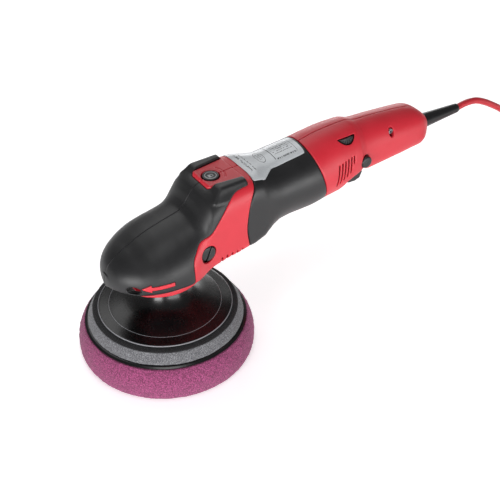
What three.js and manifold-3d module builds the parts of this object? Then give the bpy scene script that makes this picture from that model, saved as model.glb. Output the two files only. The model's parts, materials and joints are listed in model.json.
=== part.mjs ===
// Corded rotary polisher with a foam pad, standing on its pad.
// Millimetres, +Z up. The spindle turns about Z through the origin, which is the middle of the pad's
// working face. +X runs back along the motor to the rear handle and the cord; -Y is the tool's left side.
import * as THREE from "three";
import { mergeVertices } from "three/addons/utils/BufferGeometryUtils.js";
import Module from "manifold-3d";

const wasm = await Module();
wasm.setup();

// ---------------------------------------------------------------- driving dimensions
const GAP = 0.3; // between pieces that touch
const WALL = 3; // plastic housing wall
const MOTOR_Z = 150; // height of the motor's axis
const PAD_TOP = 36; // top of the cutting foam
const PLATE_R = 69; // backing plate
const HUB_TOP = 94.5; // top of the backing plate's hub
const HEAD_BASE = 101.5; // underside of the gear head
const PLATFORM_Z = 185.5; // flat on top that carries the lock button
const TAIL_X = 331.5; // rear end of the handle
const CORD_D = 7.5;

// two gear stages: spur gears from the armature to the countershaft, then a bevel pair to the spindle
const SPUR_MODULE = 0.95;
const SUN_TEETH = 10; // on the armature
const SPUR_TEETH = 30; // on the countershaft
const BEVEL_MODULE = 1.6;
const PINION_TEETH = 10;
const CROWN_TEETH = 30;
const PINION_R = (BEVEL_MODULE * PINION_TEETH) / 2;
const CROWN_R = (BEVEL_MODULE * CROWN_TEETH) / 2;
const SHAFT_Z = MOTOR_Z - (SPUR_MODULE * (SUN_TEETH + SPUR_TEETH)) / 2; // countershaft axis

// ---------------------------------------------------------------- finishes
const finish = (color, roughness, metalness = 0) =>
  new THREE.MeshStandardMaterial({ color, roughness, metalness });
const RED = finish(0xc8202f, 0.42);
const GRIP_BLACK = finish(0x38383b, 0.6);
const MOTOR_BLACK = finish(0x333336, 0.5);
const CONTROL_BLACK = finish(0x1d1d1f, 0.45);
const LABEL = finish(0xd8dcdf, 0.35, 0.3);
const ALUMINIUM = finish(0xa9acb0, 0.4, 1);
const STEEL = finish(0x9a9da1, 0.35, 1);
const BRASS = finish(0xc0913f, 0.35, 1);
const COPPER = finish(0xb4693c, 0.4, 1);
const CARBON = finish(0x2a2a2c, 0.7);
const INNER_PLASTIC = finish(0x4a4a4d, 0.6);
const RUBBER = finish(0x161618, 0.6);
const CORD_RED = finish(0xb01f2b, 0.5);
const GLOSS_BLACK = finish(0x08080a, 0.15);
const HOOK_BLACK = finish(0x1c1c1e, 0.95);
const FOAM_GREY = finish(0x7a7a80, 0.95);
const FOAM_BLACK = finish(0x121214, 0.9);
const FOAM_PURPLE = finish(0x93436e, 0.95);

// ---------------------------------------------------------------- shape helpers
// A closed geometry, with or without an index, as a manifold-3d solid.
function solid(geometry) {
  const g = geometry.index ? geometry.toNonIndexed() : geometry.clone();
  g.deleteAttribute("normal");
  g.deleteAttribute("uv");
  const merged = mergeVertices(g, 1e-3);
  const mesh = { numProp: 3, vertProperties: merged.attributes.position.array };
  return new wasm.Manifold(new wasm.Mesh({ ...mesh, triVerts: new Uint32Array(merged.index.array) }));
}

// A manifold-3d solid as a BufferGeometry.
function geometryOf(body) {
  const m = body.getMesh();
  const xyz = new Float32Array(m.numVert * 3);
  for (let i = 0; i < m.numVert; i++) {
    const at = i * m.numProp;
    xyz.set(m.vertProperties.subarray(at, at + 3), i * 3);
  }
  const g = new THREE.BufferGeometry().setAttribute("position", new THREE.BufferAttribute(xyz, 3));
  g.setIndex(new THREE.BufferAttribute(m.triVerts, 1));
  return g;
}

// Rings of equal point count, joined one to the next and capped with fans.
function skin(rings) {
  const n = rings[0].length;
  const xyz = rings.flat().flatMap((p) => [p.x, p.y, p.z]);
  const middle = (ring) => ring.reduce((s, p) => s.add(p), new THREE.Vector3()).divideScalar(n);
  const first = middle(rings[0]);
  const last = middle(rings.at(-1));
  xyz.push(first.x, first.y, first.z, last.x, last.y, last.z);
  const a = rings.length * n;
  const index = [];
  for (let r = 0; r < rings.length - 1; r++)
    for (let i = 0; i < n; i++) {
      const j = (i + 1) % n;
      index.push(r * n + i, (r + 1) * n + i, (r + 1) * n + j, r * n + i, (r + 1) * n + j, r * n + j);
    }
  for (let i = 0; i < n; i++) {
    const j = (i + 1) % n;
    index.push(a, i, j, a + 1, (rings.length - 1) * n + j, (rings.length - 1) * n + i);
  }
  const g = new THREE.BufferGeometry().setAttribute("position", new THREE.Float32BufferAttribute(xyz, 3));
  g.setIndex(index);
  const body = solid(g);
  if (body.volume() > 0) return body;
  for (let i = 0; i < index.length; i += 3) [index[i], index[i + 1]] = [index[i + 1], index[i]];
  g.setIndex(index);
  return solid(g);
}

// A profile of [radius, height] pairs turned about Z. It starts and ends on the axis or closes on itself.
function lathe(profile, segments = 48) {
  const turned = (points) => {
    const side = points.map(([r, z]) => new THREE.Vector2(r, z));
    return solid(new THREE.LatheGeometry(side, segments).rotateX(Math.PI / 2));
  };
  const body = turned(profile);
  return body.volume() > 0 ? body : turned(profile.toReversed());
}

const disc = (r, z0, z1, segments = 32) => lathe([[0, z0], [r, z0], [r, z1], [0, z1]], segments);
const ringOf = (r0, r1, z0, z1, segments = 32) =>
  lathe([[r0, z0], [r1, z0], [r1, z1], [r0, z1], [r0, z0]], segments);
const box = (x0, x1, y0, y1, z0, z1) => {
  const block = new THREE.BoxGeometry(x1 - x0, y1 - y0, z1 - z0);
  return solid(block.translate((x0 + x1) / 2, (y0 + y1) / 2, (z0 + z1) / 2));
};

// Lays a body made about Z along +X, on the motor's axis or on the countershaft's.
const onMotor = (body) => body.rotate([0, 90, 0]).translate([0, 0, MOTOR_Z]);
const onShaft = (body) => body.rotate([0, 90, 0]).translate([0, 0, SHAFT_Z]);
// Turns a body made about Z so that its +Z points along +Y or -Y.
const along = (body, side) => body.rotate([side > 0 ? -90 : 90, 0, 0]);
const joined = (bodies) => bodies.reduce((a, b) => a.add(b));

// A closed outline in the XZ plane, extruded along Y from y0 to y1.
function sidePrism(points, y0 = -80, y1 = 80) {
  const shape = new THREE.Shape(points.map(([x, z]) => new THREE.Vector2(x, z)));
  const g = new THREE.ExtrudeGeometry(shape, { depth: y1 - y0, bevelEnabled: false });
  return solid(g.rotateX(Math.PI / 2).translate(0, y1, 0));
}

// A closed outline in the XY plane, extruded along Z.
function planPrism(points, z0, z1) {
  const shape = new THREE.Shape(points.map(([x, y]) => new THREE.Vector2(x, y)));
  const g = new THREE.ExtrudeGeometry(shape, { depth: z1 - z0, bevelEnabled: false });
  return solid(g.translate(0, 0, z0));
}

// A smooth curve through points, as a list of [x, z].
function smooth(points, steps) {
  const knots = points.map(([x, z]) => new THREE.Vector3(x, 0, z));
  const line = new THREE.CatmullRomCurve3(knots, false, "centripetal");
  return line.getPoints(steps).map((p) => [p.x, p.z]);
}

// ---------------------------------------------------------------- the housing's outer form
// Stations along X: half width, top, bottom, height of the widest line, and how square the upper and
// the lower half are (2 is an ellipse, higher is squarer).
const FORM = [
  { x: -64, w: 3, top: 114.5, base: 106, mid: 110, up: 2, low: 2 },
  { x: -62.6, w: 10.5, top: 118.5, base: 103.6, mid: 111, up: 2, low: 2.5 },
  { x: -58, w: 21.1, top: 127, base: 102.2, mid: 112, up: 2.1, low: 3 },
  { x: -50, w: 31.2, top: 134, base: 101.5, mid: 112, up: 2.1, low: 3.5 },
  { x: -40, w: 39, top: 139.4, base: 101.5, mid: 112, up: 2.1, low: 4 },
  { x: -27, w: 45.3, top: 145.6, base: 101.5, mid: 112, up: 2.1, low: 4 },
  { x: -13, w: 48.9, top: 150.6, base: 101.5, mid: 112, up: 2.1, low: 4 },
  { x: 2, w: 49.8, top: 154.4, base: 101.5, mid: 112, up: 2.1, low: 4.5 },
  { x: 13, w: 48, top: 156.8, base: 101.8, mid: 114, up: 2.2, low: 6 },
  { x: 21, w: 45, top: 159, base: 102.6, mid: 118, up: 2.4, low: 8 },
  { x: 27, w: 42.6, top: 164, base: 103.4, mid: 124, up: 2.6, low: 9 },
  { x: 33, w: 41, top: 172.8, base: 104.2, mid: 130, up: 3, low: 9 },
  { x: 39, w: 40.2, top: 179.2, base: 104.9, mid: 135, up: 3.6, low: 9 },
  { x: 46, w: 39.5, top: 182.4, base: 105.6, mid: 138, up: 4, low: 9 },
  { x: 62, w: 38.7, top: 184, base: 107.4, mid: 140, up: 4.2, low: 9 },
  { x: 84, w: 38, top: 185.5, base: 110.4, mid: 140, up: 4.2, low: 9 },
  { x: 98, w: 37.8, top: 186, base: 113.6, mid: 146, up: 3.4, low: 8 },
  { x: 105, w: 37.4, top: 186, base: 114, mid: 149, up: 2.6, low: 4.8 },
  { x: 113, w: 37.1, top: 185.6, base: 114, mid: 151, up: 2.2, low: 3 },
  { x: 124, w: 37, top: 185.8, base: 114, mid: 151, up: 2, low: 2.2 },
  { x: 140, w: 37, top: 187.2, base: 114, mid: 151, up: 2, low: 2 },
  { x: 163, w: 37.4, top: 189, base: 114.4, mid: 151, up: 2, low: 2 },
  { x: 183, w: 36.4, top: 192.4, base: 117.6, mid: 151.5, up: 2, low: 2 },
  { x: 200, w: 35.5, top: 193.6, base: 119.5, mid: 152, up: 2.1, low: 2 },
  { x: 213, w: 34.4, top: 194, base: 122.5, mid: 153, up: 2.1, low: 2.2 },
  { x: 224, w: 32.4, top: 193.9, base: 129, mid: 156, up: 2.1, low: 2.6 },
  { x: 229, w: 29.6, top: 192.6, base: 132.5, mid: 158.5, up: 2.1, low: 3 },
  { x: 235, w: 27.6, top: 190.4, base: 135, mid: 160, up: 2.1, low: 3.5 },
  { x: 251, w: 26.7, top: 189.2, base: 136.8, mid: 160, up: 2.1, low: 4 },
  { x: 284, w: 26.3, top: 186.3, base: 138.3, mid: 160, up: 2.1, low: 3.5 },
  { x: 302, w: 25.4, top: 184, base: 139.4, mid: 160, up: 2.2, low: 3.4 },
  { x: 310, w: 24.6, top: 182.4, base: 139.8, mid: 160, up: 2.4, low: 3.6 },
  { x: 317, w: 23, top: 179.8, base: 140.4, mid: 159.5, up: 2.6, low: 4 },
  { x: 323, w: 20.2, top: 176, base: 141.4, mid: 158.5, up: 2.8, low: 4 },
  { x: 328, w: 16.4, top: 171.4, base: 143.2, mid: 157.5, up: 2.8, low: 3.6 },
  { x: TAIL_X, w: 12, top: 167, base: 146, mid: 156.5, up: 2.6, low: 3 },
];

// The form's values at any x, by straight lines between stations.
function formAt(x) {
  const k = Math.min(Math.max(FORM.findIndex((s) => s.x >= x), 1), FORM.length - 1);
  const [a, b] = [FORM[k - 1], FORM[k]];
  const t = THREE.MathUtils.clamp((x - a.x) / (b.x - a.x), 0, 1);
  return Object.fromEntries(Object.keys(a).map((key) => [key, THREE.MathUtils.lerp(a[key], b[key], t)]));
}

// One section of the form, inset from its outer face.
function sectionAt(x, inset, n) {
  const s = formAt(x);
  const signed = (v, power) => Math.sign(v) * Math.abs(v) ** power;
  return Array.from({ length: n }, (_, i) => {
    const a = (2 * Math.PI * i) / n;
    const upper = Math.sin(a) >= 0;
    const power = 2 / (upper ? s.up : s.low);
    const height = (upper ? s.top - s.mid : s.mid - s.base) - inset;
    const y = (s.w - inset) * signed(Math.cos(a), power);
    return new THREE.Vector3(x, y, s.mid + height * signed(Math.sin(a), power));
  });
}

// The form between x0 and x1 as one solid, inset from the outer face, without sections that would vanish.
// A hollow's form takes every second station and fewer points, since it is never seen.
function form(x0, x1, inset = 0, hollow = false) {
  const between = FORM.map((s) => s.x).filter((x) => x > x0 + 1 && x < x1 - 1);
  const stations = [x0, ...between.filter((_, i) => !hollow || i % 2 === 0), x1];
  const alive = stations.filter((x) => formAt(x).w > inset + 3);
  return skin(alive.map((x) => sectionAt(x, inset, hollow ? 14 : 24)));
}

const halves = (body) => ({
  left: body.intersect(box(-100, 400, -90, -GAP / 2, -10, 250)),
  right: body.intersect(box(-100, 400, GAP / 2, 90, -10, 250)),
});

// ---------------------------------------------------------------- gear teeth
const ADDENDUM = 0.85; // of the module
const DEDENDUM = 1.15;
const ROOT_HALF = 0.27; // half of a tooth's width at its root and at its tip, of the pitch
const TIP_HALF = 0.11;

// The outline of a gear with straight-sided teeth, tooth 0 on +X unless it is turned.
function toothOutline(teeth, module, scale = 1, turn = 0) {
  const pitch = (teeth * module) / 2;
  const [tip, root] = [pitch + ADDENDUM * module, pitch - DEDENDUM * module];
  const step = (2 * Math.PI) / teeth;
  const [rootHalf, tipHalf] = [ROOT_HALF * step, TIP_HALF * step];
  return Array.from({ length: teeth }, (_, i) => {
    const a = i * step + turn;
    return [[root, a - rootHalf], [tip, a - tipHalf], [tip, a + tipHalf], [root, a + rootHalf]];
  })
    .flat()
    .map(([r, t]) => [scale * r * Math.cos(t), scale * r * Math.sin(t)]);
}

const flatRing = (outline, z) => outline.map(([x, y]) => new THREE.Vector3(x, y, z));
const spur = (teeth, z0, z1, turn = 0) => {
  const outline = toothOutline(teeth, SPUR_MODULE, 1, turn);
  return skin([flatRing(outline, z0), flatRing(outline, z1)]);
};

// A disc with straight slots around its rim.
function slotted(r, depth, count, z0, z1) {
  const step = (2 * Math.PI) / count;
  const tooth = [[r, -0.34], [r, 0.34], [r - depth, 0.36], [r - depth, 0.64]]; // [radius, share of a step]
  const corners = (i) => tooth.map(([q, t]) => [q, (i + t) * step]);
  const outline = Array.from({ length: count }, (_, i) => corners(i)).flat();
  const ring = outline.map(([q, t]) => [q * Math.cos(t), q * Math.sin(t)]);
  return skin([flatRing(ring, z0), flatRing(ring, z1)]);
}

// ---------------------------------------------------------------- assembly
const polisher = new THREE.Group();
polisher.name = "polisher";

function add(name, body, material) {
  const mesh = new THREE.Mesh(geometryOf(body), material);
  mesh.name = name;
  polisher.add(mesh);
}

// ---- hood and grip cover around the gear head, each in two halves
const COVER_KNOTS = [
  [9, 105.5], [9.3, 126.6], [16, 137.2], [23, 143.6], [34, 148.6], [43.5, 158.7],
  [55, 171.4], [66.5, 179.6], [84, 182],
];
const COVER_EDGE = smooth(COVER_KNOTS, 15);
const SLEEVE_EDGE = smooth([[94, 192], [88, 178], [80.5, 163.3], [76.8, 141.6], [77.6, 125], [84, 98]], 9);
const COVER_REAR = 83.8;
const SEAM_SHIFT = GAP * 0.8; // opens the slanted joint between cover and hood by about the gap

const mirrored = (half) => [...half, ...half.toReversed().map(([x, y]) => [x, -y])];

// The outline of the flat that carries the lock button, as a tall prism.
function platform(grow) {
  const half = [[46 - grow, 13.5 + grow], [48.5, 16.5 + grow], [84 + grow, 20.6 + grow]];
  return planPrism(mirrored(half), 176, 200);
}

// A rounded rail on each side of the platform.
const RIDGE = { x0: 44, length: 38, y: 24, z: 183.3, r: 3.9, rise: 1.25 };
function ridge(side, grow) {
  const g = new THREE.CapsuleGeometry(RIDGE.r + grow, RIDGE.length, 4, 12).rotateZ(Math.PI / 2);
  return solid(g).scale([1, 1, RIDGE.rise]).translate([RIDGE.x0 + RIDGE.length / 2, side * RIDGE.y, RIDGE.z]);
}

// An upright elliptical cylinder below the spindle's head.
const oval = (rx, ry, x, z0, z1) => disc(1, z0, z1, 28).scale([rx, ry, 1]).translate([x, 0, 0]);
const headCavity = form(-61, 99, WALL, true);
const headShell = form(-64, 98).subtract(headCavity).subtract(oval(49, 39, -6, 90, HEAD_BASE + 10.5));
const collar = oval(45, 44.5, -5, 97.2, 103).subtract(disc(36.5, 90, 110));

function hoodAndCover() {
  const above = sidePrism([[-70, 90], [-26, 101.9], ...COVER_EDGE, [84, 215], [-70, 215]]);
  const aboveAndSeam = above.add(above.translate([SEAM_SHIFT, 0, -SEAM_SHIFT]));
  const front = sidePrism([...SLEEVE_EDGE, [-70, 96], [-70, 192]]);
  const ridges = (grow) => ridge(1, grow).add(ridge(-1, grow));
  const slab = platform(0).intersect(box(40, COVER_REAR + 0.4, -40, 40, 180, PLATFORM_Z));
  const ahead = box(-70, COVER_REAR, -60, 60, 90, 200);
  const cover = headShell.intersect(above).add(ridges(0)).subtract(platform(GAP)).subtract(headCavity);
  const band = headShell.add(collar).intersect(front).subtract(aboveAndSeam).subtract(ridges(GAP));
  return { cover: cover.intersect(ahead), hood: band.add(slab) };
}

const SIDE_PLUG = { x: 29, z: 127.5, y: 41, r: 8.2 };
function sidePlug(side) {
  const slot = box(-0.9, 0.9, -10, 10, 3.6, 8);
  const body = disc(SIDE_PLUG.r, -3, 4.4, 28).add(disc(4, -9, -3, 20)).subtract(slot);
  return along(body, side).translate([SIDE_PLUG.x, side * (SIDE_PLUG.y - 3.6), SIDE_PLUG.z]);
}
const sideHole = (side) =>
  along(disc(SIDE_PLUG.r + 1, -14, 12, 28), side).translate([SIDE_PLUG.x, side * SIDE_PLUG.y, SIDE_PLUG.z]);

// Short cooling slots along the hood's lower corner.
function hoodVents() {
  const starts = [0, 1, 2, 3, 4].map((i) => 45 + 6.2 * i);
  const slot = (x, side) => box(x, x + 1.8, side * 38 - 6, side * 38 + 6, 100, 116);
  return joined(starts.flatMap((x) => [slot(x, 1), slot(x, -1)]));
}

const LOCK_X = 58.5; // spindle lock button
const NOSE_SCREW_Z = 110.5;

// Puts a body made about Z at a point, with its +Z along a direction.
function aim(body, at, direction) {
  const turn = new THREE.Quaternion().setFromUnitVectors(new THREE.Vector3(0, 0, 1), direction.normalize());
  const place = new THREE.Matrix4().compose(at, turn, new THREE.Vector3(1, 1, 1));
  return body.transform(place.elements);
}

// A screw made about Z with its head's top at z = 0, and a hexagon socket in the head.
const HEAD_H = 2.6;
function screw(headR, shankR, length) {
  const shank = [[0, -length], [shankR, -length], [shankR, -HEAD_H]];
  const head = [[headR, -HEAD_H], [headR, -0.4], [headR - 0.4, 0], [0, 0]];
  return lathe([...shank, ...head], 12).subtract(disc(headR * 0.55, -1.5, 1, 6));
}

const nosePlace = (side) => new THREE.Vector3(-47.5, side * 30, NOSE_SCREW_Z);
const noseAxis = (side) => new THREE.Vector3(-0.85, side * 0.53, 0);
const NOSE_ROLL = 58; // degrees that bring the pocket's long side level
const nosePocket = (side) => {
  const pocket = disc(1, -12, 16, 24).scale([4.6, 7.2, 1]).rotate([0, 0, -side * NOSE_ROLL]);
  return aim(pocket, nosePlace(side), noseAxis(side));
};

// ---- direction arrow, inlaid in the left side of the nose and pointing the way the pad turns
const ARROW = [
  [-43, 114], [-43, 113], [-35, 109.2], [-35, 111.6],
  [-13.5, 113.2], [-13.5, 117.2], [-35, 115.4], [-35, 117.8],
];
const arrowZone = sidePrism(ARROW, -70, -20);
const arrow = form(-60, 10, -0.15).subtract(form(-62, 12, 1.2)).intersect(arrowZone);
// Copies shifted by whole gaps make the pocket that clears the arrow all round.
const SHIFTS = [[1, 1], [1, -1], [-1, 1], [-1, -1], [-2, 0], [2, 0]];
const widened = joined(SHIFTS.map(([x, z]) => arrowZone.translate([x * GAP, 0, z * GAP])));
const arrowPocket = widened.subtract(form(-62, 12, 1.5));

{
  const { cover, hood } = hoodAndCover();
  const lockHole = disc(9.3, 150, 200, 28).translate([LOCK_X, 0, 0]);
  const holes = joined([sideHole(1), sideHole(-1), lockHole]);
  const red = halves(hood.subtract(holes).subtract(hoodVents()));
  const pockets = joined([nosePocket(1), nosePocket(-1), arrowPocket]);
  const black = halves(cover.subtract(holes).subtract(pockets));
  add("hood_left", red.left, RED);
  add("hood_right", red.right, RED);
  add("grip_cover_left", black.left, GRIP_BLACK);
  add("grip_cover_right", black.right, GRIP_BLACK);
}
add("direction_arrow", arrow, RED);
add("handle_plug_left", sidePlug(-1), CONTROL_BLACK);
add("handle_plug_right", sidePlug(1), CONTROL_BLACK);

// ---- motor sleeve and rating plate
const REAR_X = 163; // the sleeve's rear edge on top
const rearEdge = (z) => REAR_X + (188 - z) * 0.28;
const sleeveSide = [...SLEEVE_EDGE, [rearEdge(98), 98], [rearEdge(200), 200]];
const sleeveZone = sidePrism(sleeveSide).translate([GAP, 0, 0]);
const sleeve = form(74, 192).subtract(form(73, 193, WALL, true)).intersect(sleeveZone);
const LABEL_EDGE = [[90, 28], [104, 28.5], [113, 23], [124, 19.5], [150, 17], [160, 15.5]];
const labelZone = planPrism(mirrored(LABEL_EDGE), 160, 200).intersect(sleeveZone.translate([2 * GAP, 0, 0]));
const label = form(84, 170, -0.9).subtract(form(80, 174, -GAP)).intersect(labelZone);
add("motor_sleeve", sleeve, MOTOR_BLACK);
add("rating_label", label, LABEL);

// ---- rear handle
const TRIGGER = { x0: 215, x1: 241.5, half: 14.6, pivotX: 218, pivotZ: 136 };
const LOCK_ON = { x: 230.6, z: 155.6, r: 6.6, face: 33 };
const DIAL = { x: 210, y: -12.2, z0: 180.4, z1: 186.2, r: 12.4 };
const HANDLE_SCREW = { x: 270, z: 174.5, headY: -21.5 };
const BOOT_Z = 156;

// Slanted cooling slots on both sides of the handle, shorter towards the rear. The last is a stub.
function handleVents() {
  const slots = [];
  for (let i = 0; i < 6; i++) {
    const [length, z] = i < 5 ? [24 - 1.6 * i, 154 + 1.7 * i] : [8, 165.5];
    const slot = box(-0.9, 0.9, -6, 6, -length / 2, length / 2).rotate([0, 8, 0]);
    for (const side of [1, -1]) slots.push(slot.translate([191.5 + 4.3 * i, side * 34, z]));
  }
  return joined(slots);
}

// What the handle's lower edge leaves open on both sides of the trigger, and the same with the wall round it.
const GUARD = [[203, 105], [205, 120], [210, 128.5], [217, 134.5], [232, 136.5], [243.5, 138], [243.5, 105]];
const GUARD_WALL = [
  [200, 105], [202, 121], [207.5, 131], [215.5, 137.6], [232, 139.6], [246.5, 141.3], [246.5, 105],
];

// The same on the flanks, where the lower edge arches higher.
const FLANK = 17; // half width of what lies between the flanks
const FLANK_SKIN = 1.4; // of the wall beside the trigger's slot
const FLANK_GUARD = [
  [200, 105], [202, 134], [206, 141], [213, 144.6], [224, 147], [230, 146.4], [236, 142],
  [243.5, 138], [243.5, 105],
];
const FLANK_WALL = [
  [197, 105], [199, 135.5], [204, 143.6], [212, 147.6], [224, 150], [231.5, 149.2], [238, 144.6],
  [246.5, 141.3], [246.5, 105],
];
const guardPrism = (middle, flank, inset) =>
  joined([
    sidePrism(middle),
    sidePrism(flank, FLANK - inset, 60),
    sidePrism(flank, -60, inset - FLANK),
  ]);

{
  const front = [[rearEdge(98) + GAP * 2, 98], [rearEdge(210) + GAP * 2, 210]];
  const rear = sidePrism([...front, [400, 210], [400, 98]]);
  const cavity = form(150, TAIL_X - WALL, WALL, true).subtract(guardPrism(GUARD_WALL, FLANK_WALL, FLANK_SKIN));
  const outside = form(158, TAIL_X).subtract(guardPrism(GUARD, FLANK_GUARD, 0));
  const shell = outside.subtract(cavity).intersect(rear);
  const onScrew = (r, y0, y1) => {
    const bar = along(disc(r, y0, y1, 20), -1);
    return bar.translate([HANDLE_SCREW.x, 0, HANDLE_SCREW.z]);
  };
  const boss = onScrew(5.4, -40, 40).intersect(form(250, 290, 1.5, true));
  const HEAD_DEPTH = 3.1; // of the screw's counterbore, clearance included
  const cuts = joined([
    box(TRIGGER.x0 - 0.6, TRIGGER.x1 + 0.8, -TRIGGER.half - 0.6, TRIGGER.half + 0.6, 100, 141.5),
    along(disc(LOCK_ON.r + 0.4, 10, 60, 24), -1).translate([LOCK_ON.x, 0, LOCK_ON.z]),
    disc(DIAL.r + 0.9, DIAL.z0 - 0.6, DIAL.z1 + 0.7, 32).translate([DIAL.x, DIAL.y, 0]),
    onScrew(3.5, -HANDLE_SCREW.headY - HEAD_DEPTH, 40),
    onScrew(2.1, -12.6, 30),
    disc(6.9, -12, 12, 24).rotate([0, 90, 0]).translate([TAIL_X, 0, BOOT_Z]),
    handleVents(),
  ]);
  const shells = halves(shell.add(boss).subtract(cuts));
  add("handle_shell_left", shells.left, RED);
  add("handle_shell_right", shells.right, RED);
}
const TRIGGER_SIDE = [
  [215, 137.5], [215.4, 129], [218.5, 124.4], [224, 122], [232, 121.6],
  [238.6, 123.6], [241.5, 130.5], [241.3, 139], [216, 139],
];
add("trigger", sidePrism(TRIGGER_SIDE, -TRIGGER.half, TRIGGER.half), CONTROL_BLACK);
const lockOnSide = [
  [0, 12.6], [2.4, 12.6], [2.4, 23.6], [LOCK_ON.r, 23.6],
  [LOCK_ON.r, LOCK_ON.face - 1], [LOCK_ON.r - 0.7, LOCK_ON.face], [0, LOCK_ON.face],
];
add("lock_on_button", along(lathe(lockOnSide, 24), -1).translate([LOCK_ON.x, 0, LOCK_ON.z]), CONTROL_BLACK);
const dialBody = slotted(DIAL.r, 0.7, 20, DIAL.z0, DIAL.z1).add(disc(3, 170.3, DIAL.z0, 16));
add("speed_dial", dialBody.translate([DIAL.x, DIAL.y, 0]), CONTROL_BLACK);
const handleScrew = along(screw(3, 1.8, 28), -1);
add("handle_screw", handleScrew.translate([HANDLE_SCREW.x, HANDLE_SCREW.headY, HANDLE_SCREW.z]), STEEL);
const BOOT_END = 387.4;
const bootSide = [
  [0, 320.6], [8, 320.6], [8, 323.6], [6.5, 323.6], [6.5, TAIL_X + 0.4], [8.6, TAIL_X + 0.4],
  [6.9, 358], [5, BOOT_END], [0, BOOT_END],
];
add("strain_relief", lathe(bootSide, 20).rotate([0, 90, 0]).translate([0, 0, BOOT_Z]), RUBBER);

// ---- controls inside the handle
const switchBody = box(222, 268, -9, 9, 143.6, 164).add(box(225, 231, -4, 4, 141, 143.6));
add("switch_module", switchBody, INNER_PLASTIC);
add("speed_control_board", box(187, 209, -17, 14, 167.6, 170), INNER_PLASTIC);
const clampBore = disc(4, 300, 320, 16).rotate([0, 90, 0]).translate([0, 0, BOOT_Z]);
add("cord_clamp", box(303, 311, -9, 9, 146.5, 162).subtract(clampBore), INNER_PLASTIC);

// ---- motor
const wedge = (half, x0, x1) => {
  const reach = 60;
  const [far, side] = [reach * Math.cos(half), reach * Math.sin(half)];
  return onMotor(planPrism([[0, 0], [side, far], [0, reach], [-side, far]], x0, x1));
};
const STATOR = { x0: 100, x1: 150, r: 31, bore: 19.4 };
const degrees = THREE.MathUtils.degToRad;
const poles = onMotor(ringOf(STATOR.bore, 25.8, STATOR.x0, STATOR.x1, 28));
const pole = poles.intersect(wedge(degrees(50), 90, 160));
const yoke = onMotor(ringOf(25.6, STATOR.r, STATOR.x0, STATOR.x1, 28));
const stator = joined([yoke, pole, pole.mirror([0, 1, 0])]);
const END_TURNS = 5.5; // how far the windings stand out of the stack
const coilTube = ringOf(STATOR.bore + 0.4, 25.2, STATOR.x0 - END_TURNS, STATOR.x1 + END_TURNS, 28);
const coilFrame = onMotor(coilTube).intersect(wedge(degrees(84), 90, 160));
const coil = coilFrame.subtract(wedge(degrees(53), STATOR.x0 - 0.5, STATOR.x1 + 0.5));
add("stator_stack", stator, STEEL);
add("field_coil_right", coil, COPPER);
add("field_coil_left", coil.mirror([0, 1, 0]), COPPER);

const armature = lathe([[0, 63], [3.4, 63], [3.4, 75], [3.9, 75.3], [3.9, 181.6], [0, 181.6]], 16);
const sun = spur(SUN_TEETH, 64, 74, Math.PI / SUN_TEETH);
add("armature_shaft", onMotor(armature.add(sun)), STEEL);
const bored = (body, r) => body.subtract(disc(r + GAP, -400, 400, 20));
add("armature_stack", onMotor(bored(slotted(18.6, 3, 10, 103, 147), 3.9)), STEEL);
add("commutator", onMotor(bored(slotted(11.4, 0.8, 14, 156.2, 170), 3.9)), COPPER);
const fanBlade = box(7, 29, -0.8, 0.8, 84.6, 91.2);
const fanBlades = Array.from({ length: 9 }, (_, i) => fanBlade.rotate([0, 0, 40 * i]));
const fanWheel = joined([disc(29.4, 91, 92.8, 28), disc(8, 84.6, 92, 20), ...fanBlades]);
add("fan", onMotor(bored(fanWheel, 3.9)), INNER_PLASTIC);
const BRUSH = { x0: 160, x1: 166, half: 3.7 };
const brushBlock = box(158.4, 167.6, -27, 27, MOTOR_Z - 5.4, MOTOR_Z + 5.4);
const brushSleeves = brushBlock.subtract(onMotor(disc(13.5, 150, 175, 20)));
const pocketHalf = BRUSH.half + GAP;
const brushPockets = box(BRUSH.x0 - GAP, BRUSH.x1 + GAP, -40, 40, MOTOR_Z - pocketHalf, MOTOR_Z + pocketHalf);
const brushRing = onMotor(ringOf(25.5, 30.6, 158.4, 167.6, 28)).add(brushSleeves).subtract(brushPockets);
add("brush_ring", brushRing, INNER_PLASTIC);
const brush = box(BRUSH.x0, BRUSH.x1, 11.9, 25, MOTOR_Z - BRUSH.half, MOTOR_Z + BRUSH.half);
add("carbon_brush_right", brush, CARBON);
add("carbon_brush_left", brush.mirror([0, 1, 0]), CARBON);
const bearing = (r0, r1, z0, z1) => ringOf(r0, r1, z0, z1, 20);
add("armature_bearing_front", onMotor(bearing(4.2, 9.4, 76, 81.4)), STEEL);
add("armature_bearing_rear", onMotor(bearing(4.2, 9.4, 173.4, 179)), STEEL);
add("rear_bearing_bracket", onMotor(ringOf(9.7, 29, 173, 176.4, 24)), INNER_PLASTIC);

// ---- gear head
const insideHead = form(-60, 98, WALL + 1, true);
const CUP_SIDE = [
  [0, 149], [17, 148], [29, 141.5], [35, 128], [35, 104.8], [31.6, 104.8], [31.6, 126], [27, 139.6],
  [12, 144.4], [12, 138.8], [9.8, 138.8], [9.8, 145.4], [0, 145.4],
];
const cup = lathe(CUP_SIDE, 24);
const backPlate = form(43, 46.5, WALL + 1, true);
const barrel = onShaft(disc(14, 26.4, 46, 28));
const lockArm = box(46, 66, -7, 7, 166.6, 170).subtract(disc(3.4, 160, 180, 16).translate([LOCK_X, 0, 0]));
const housing = joined([cup, backPlate, barrel, lockArm])
  .subtract(onShaft(disc(11.3, 26, 36, 28)))
  .subtract(onShaft(disc(6, 20, 60, 20)))
  .subtract(onShaft(disc(10.2, 10, 26.4, 20)))
  .intersect(insideHead);
add("gear_housing", housing, ALUMINIUM);
const flangeSide = [
  [20.3, 100], [33, 100], [35, 101.6], [35, 104.5], [31.2, 104.5], [31.2, 110.4], [20.3, 110.4], [20.3, 100],
];
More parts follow.
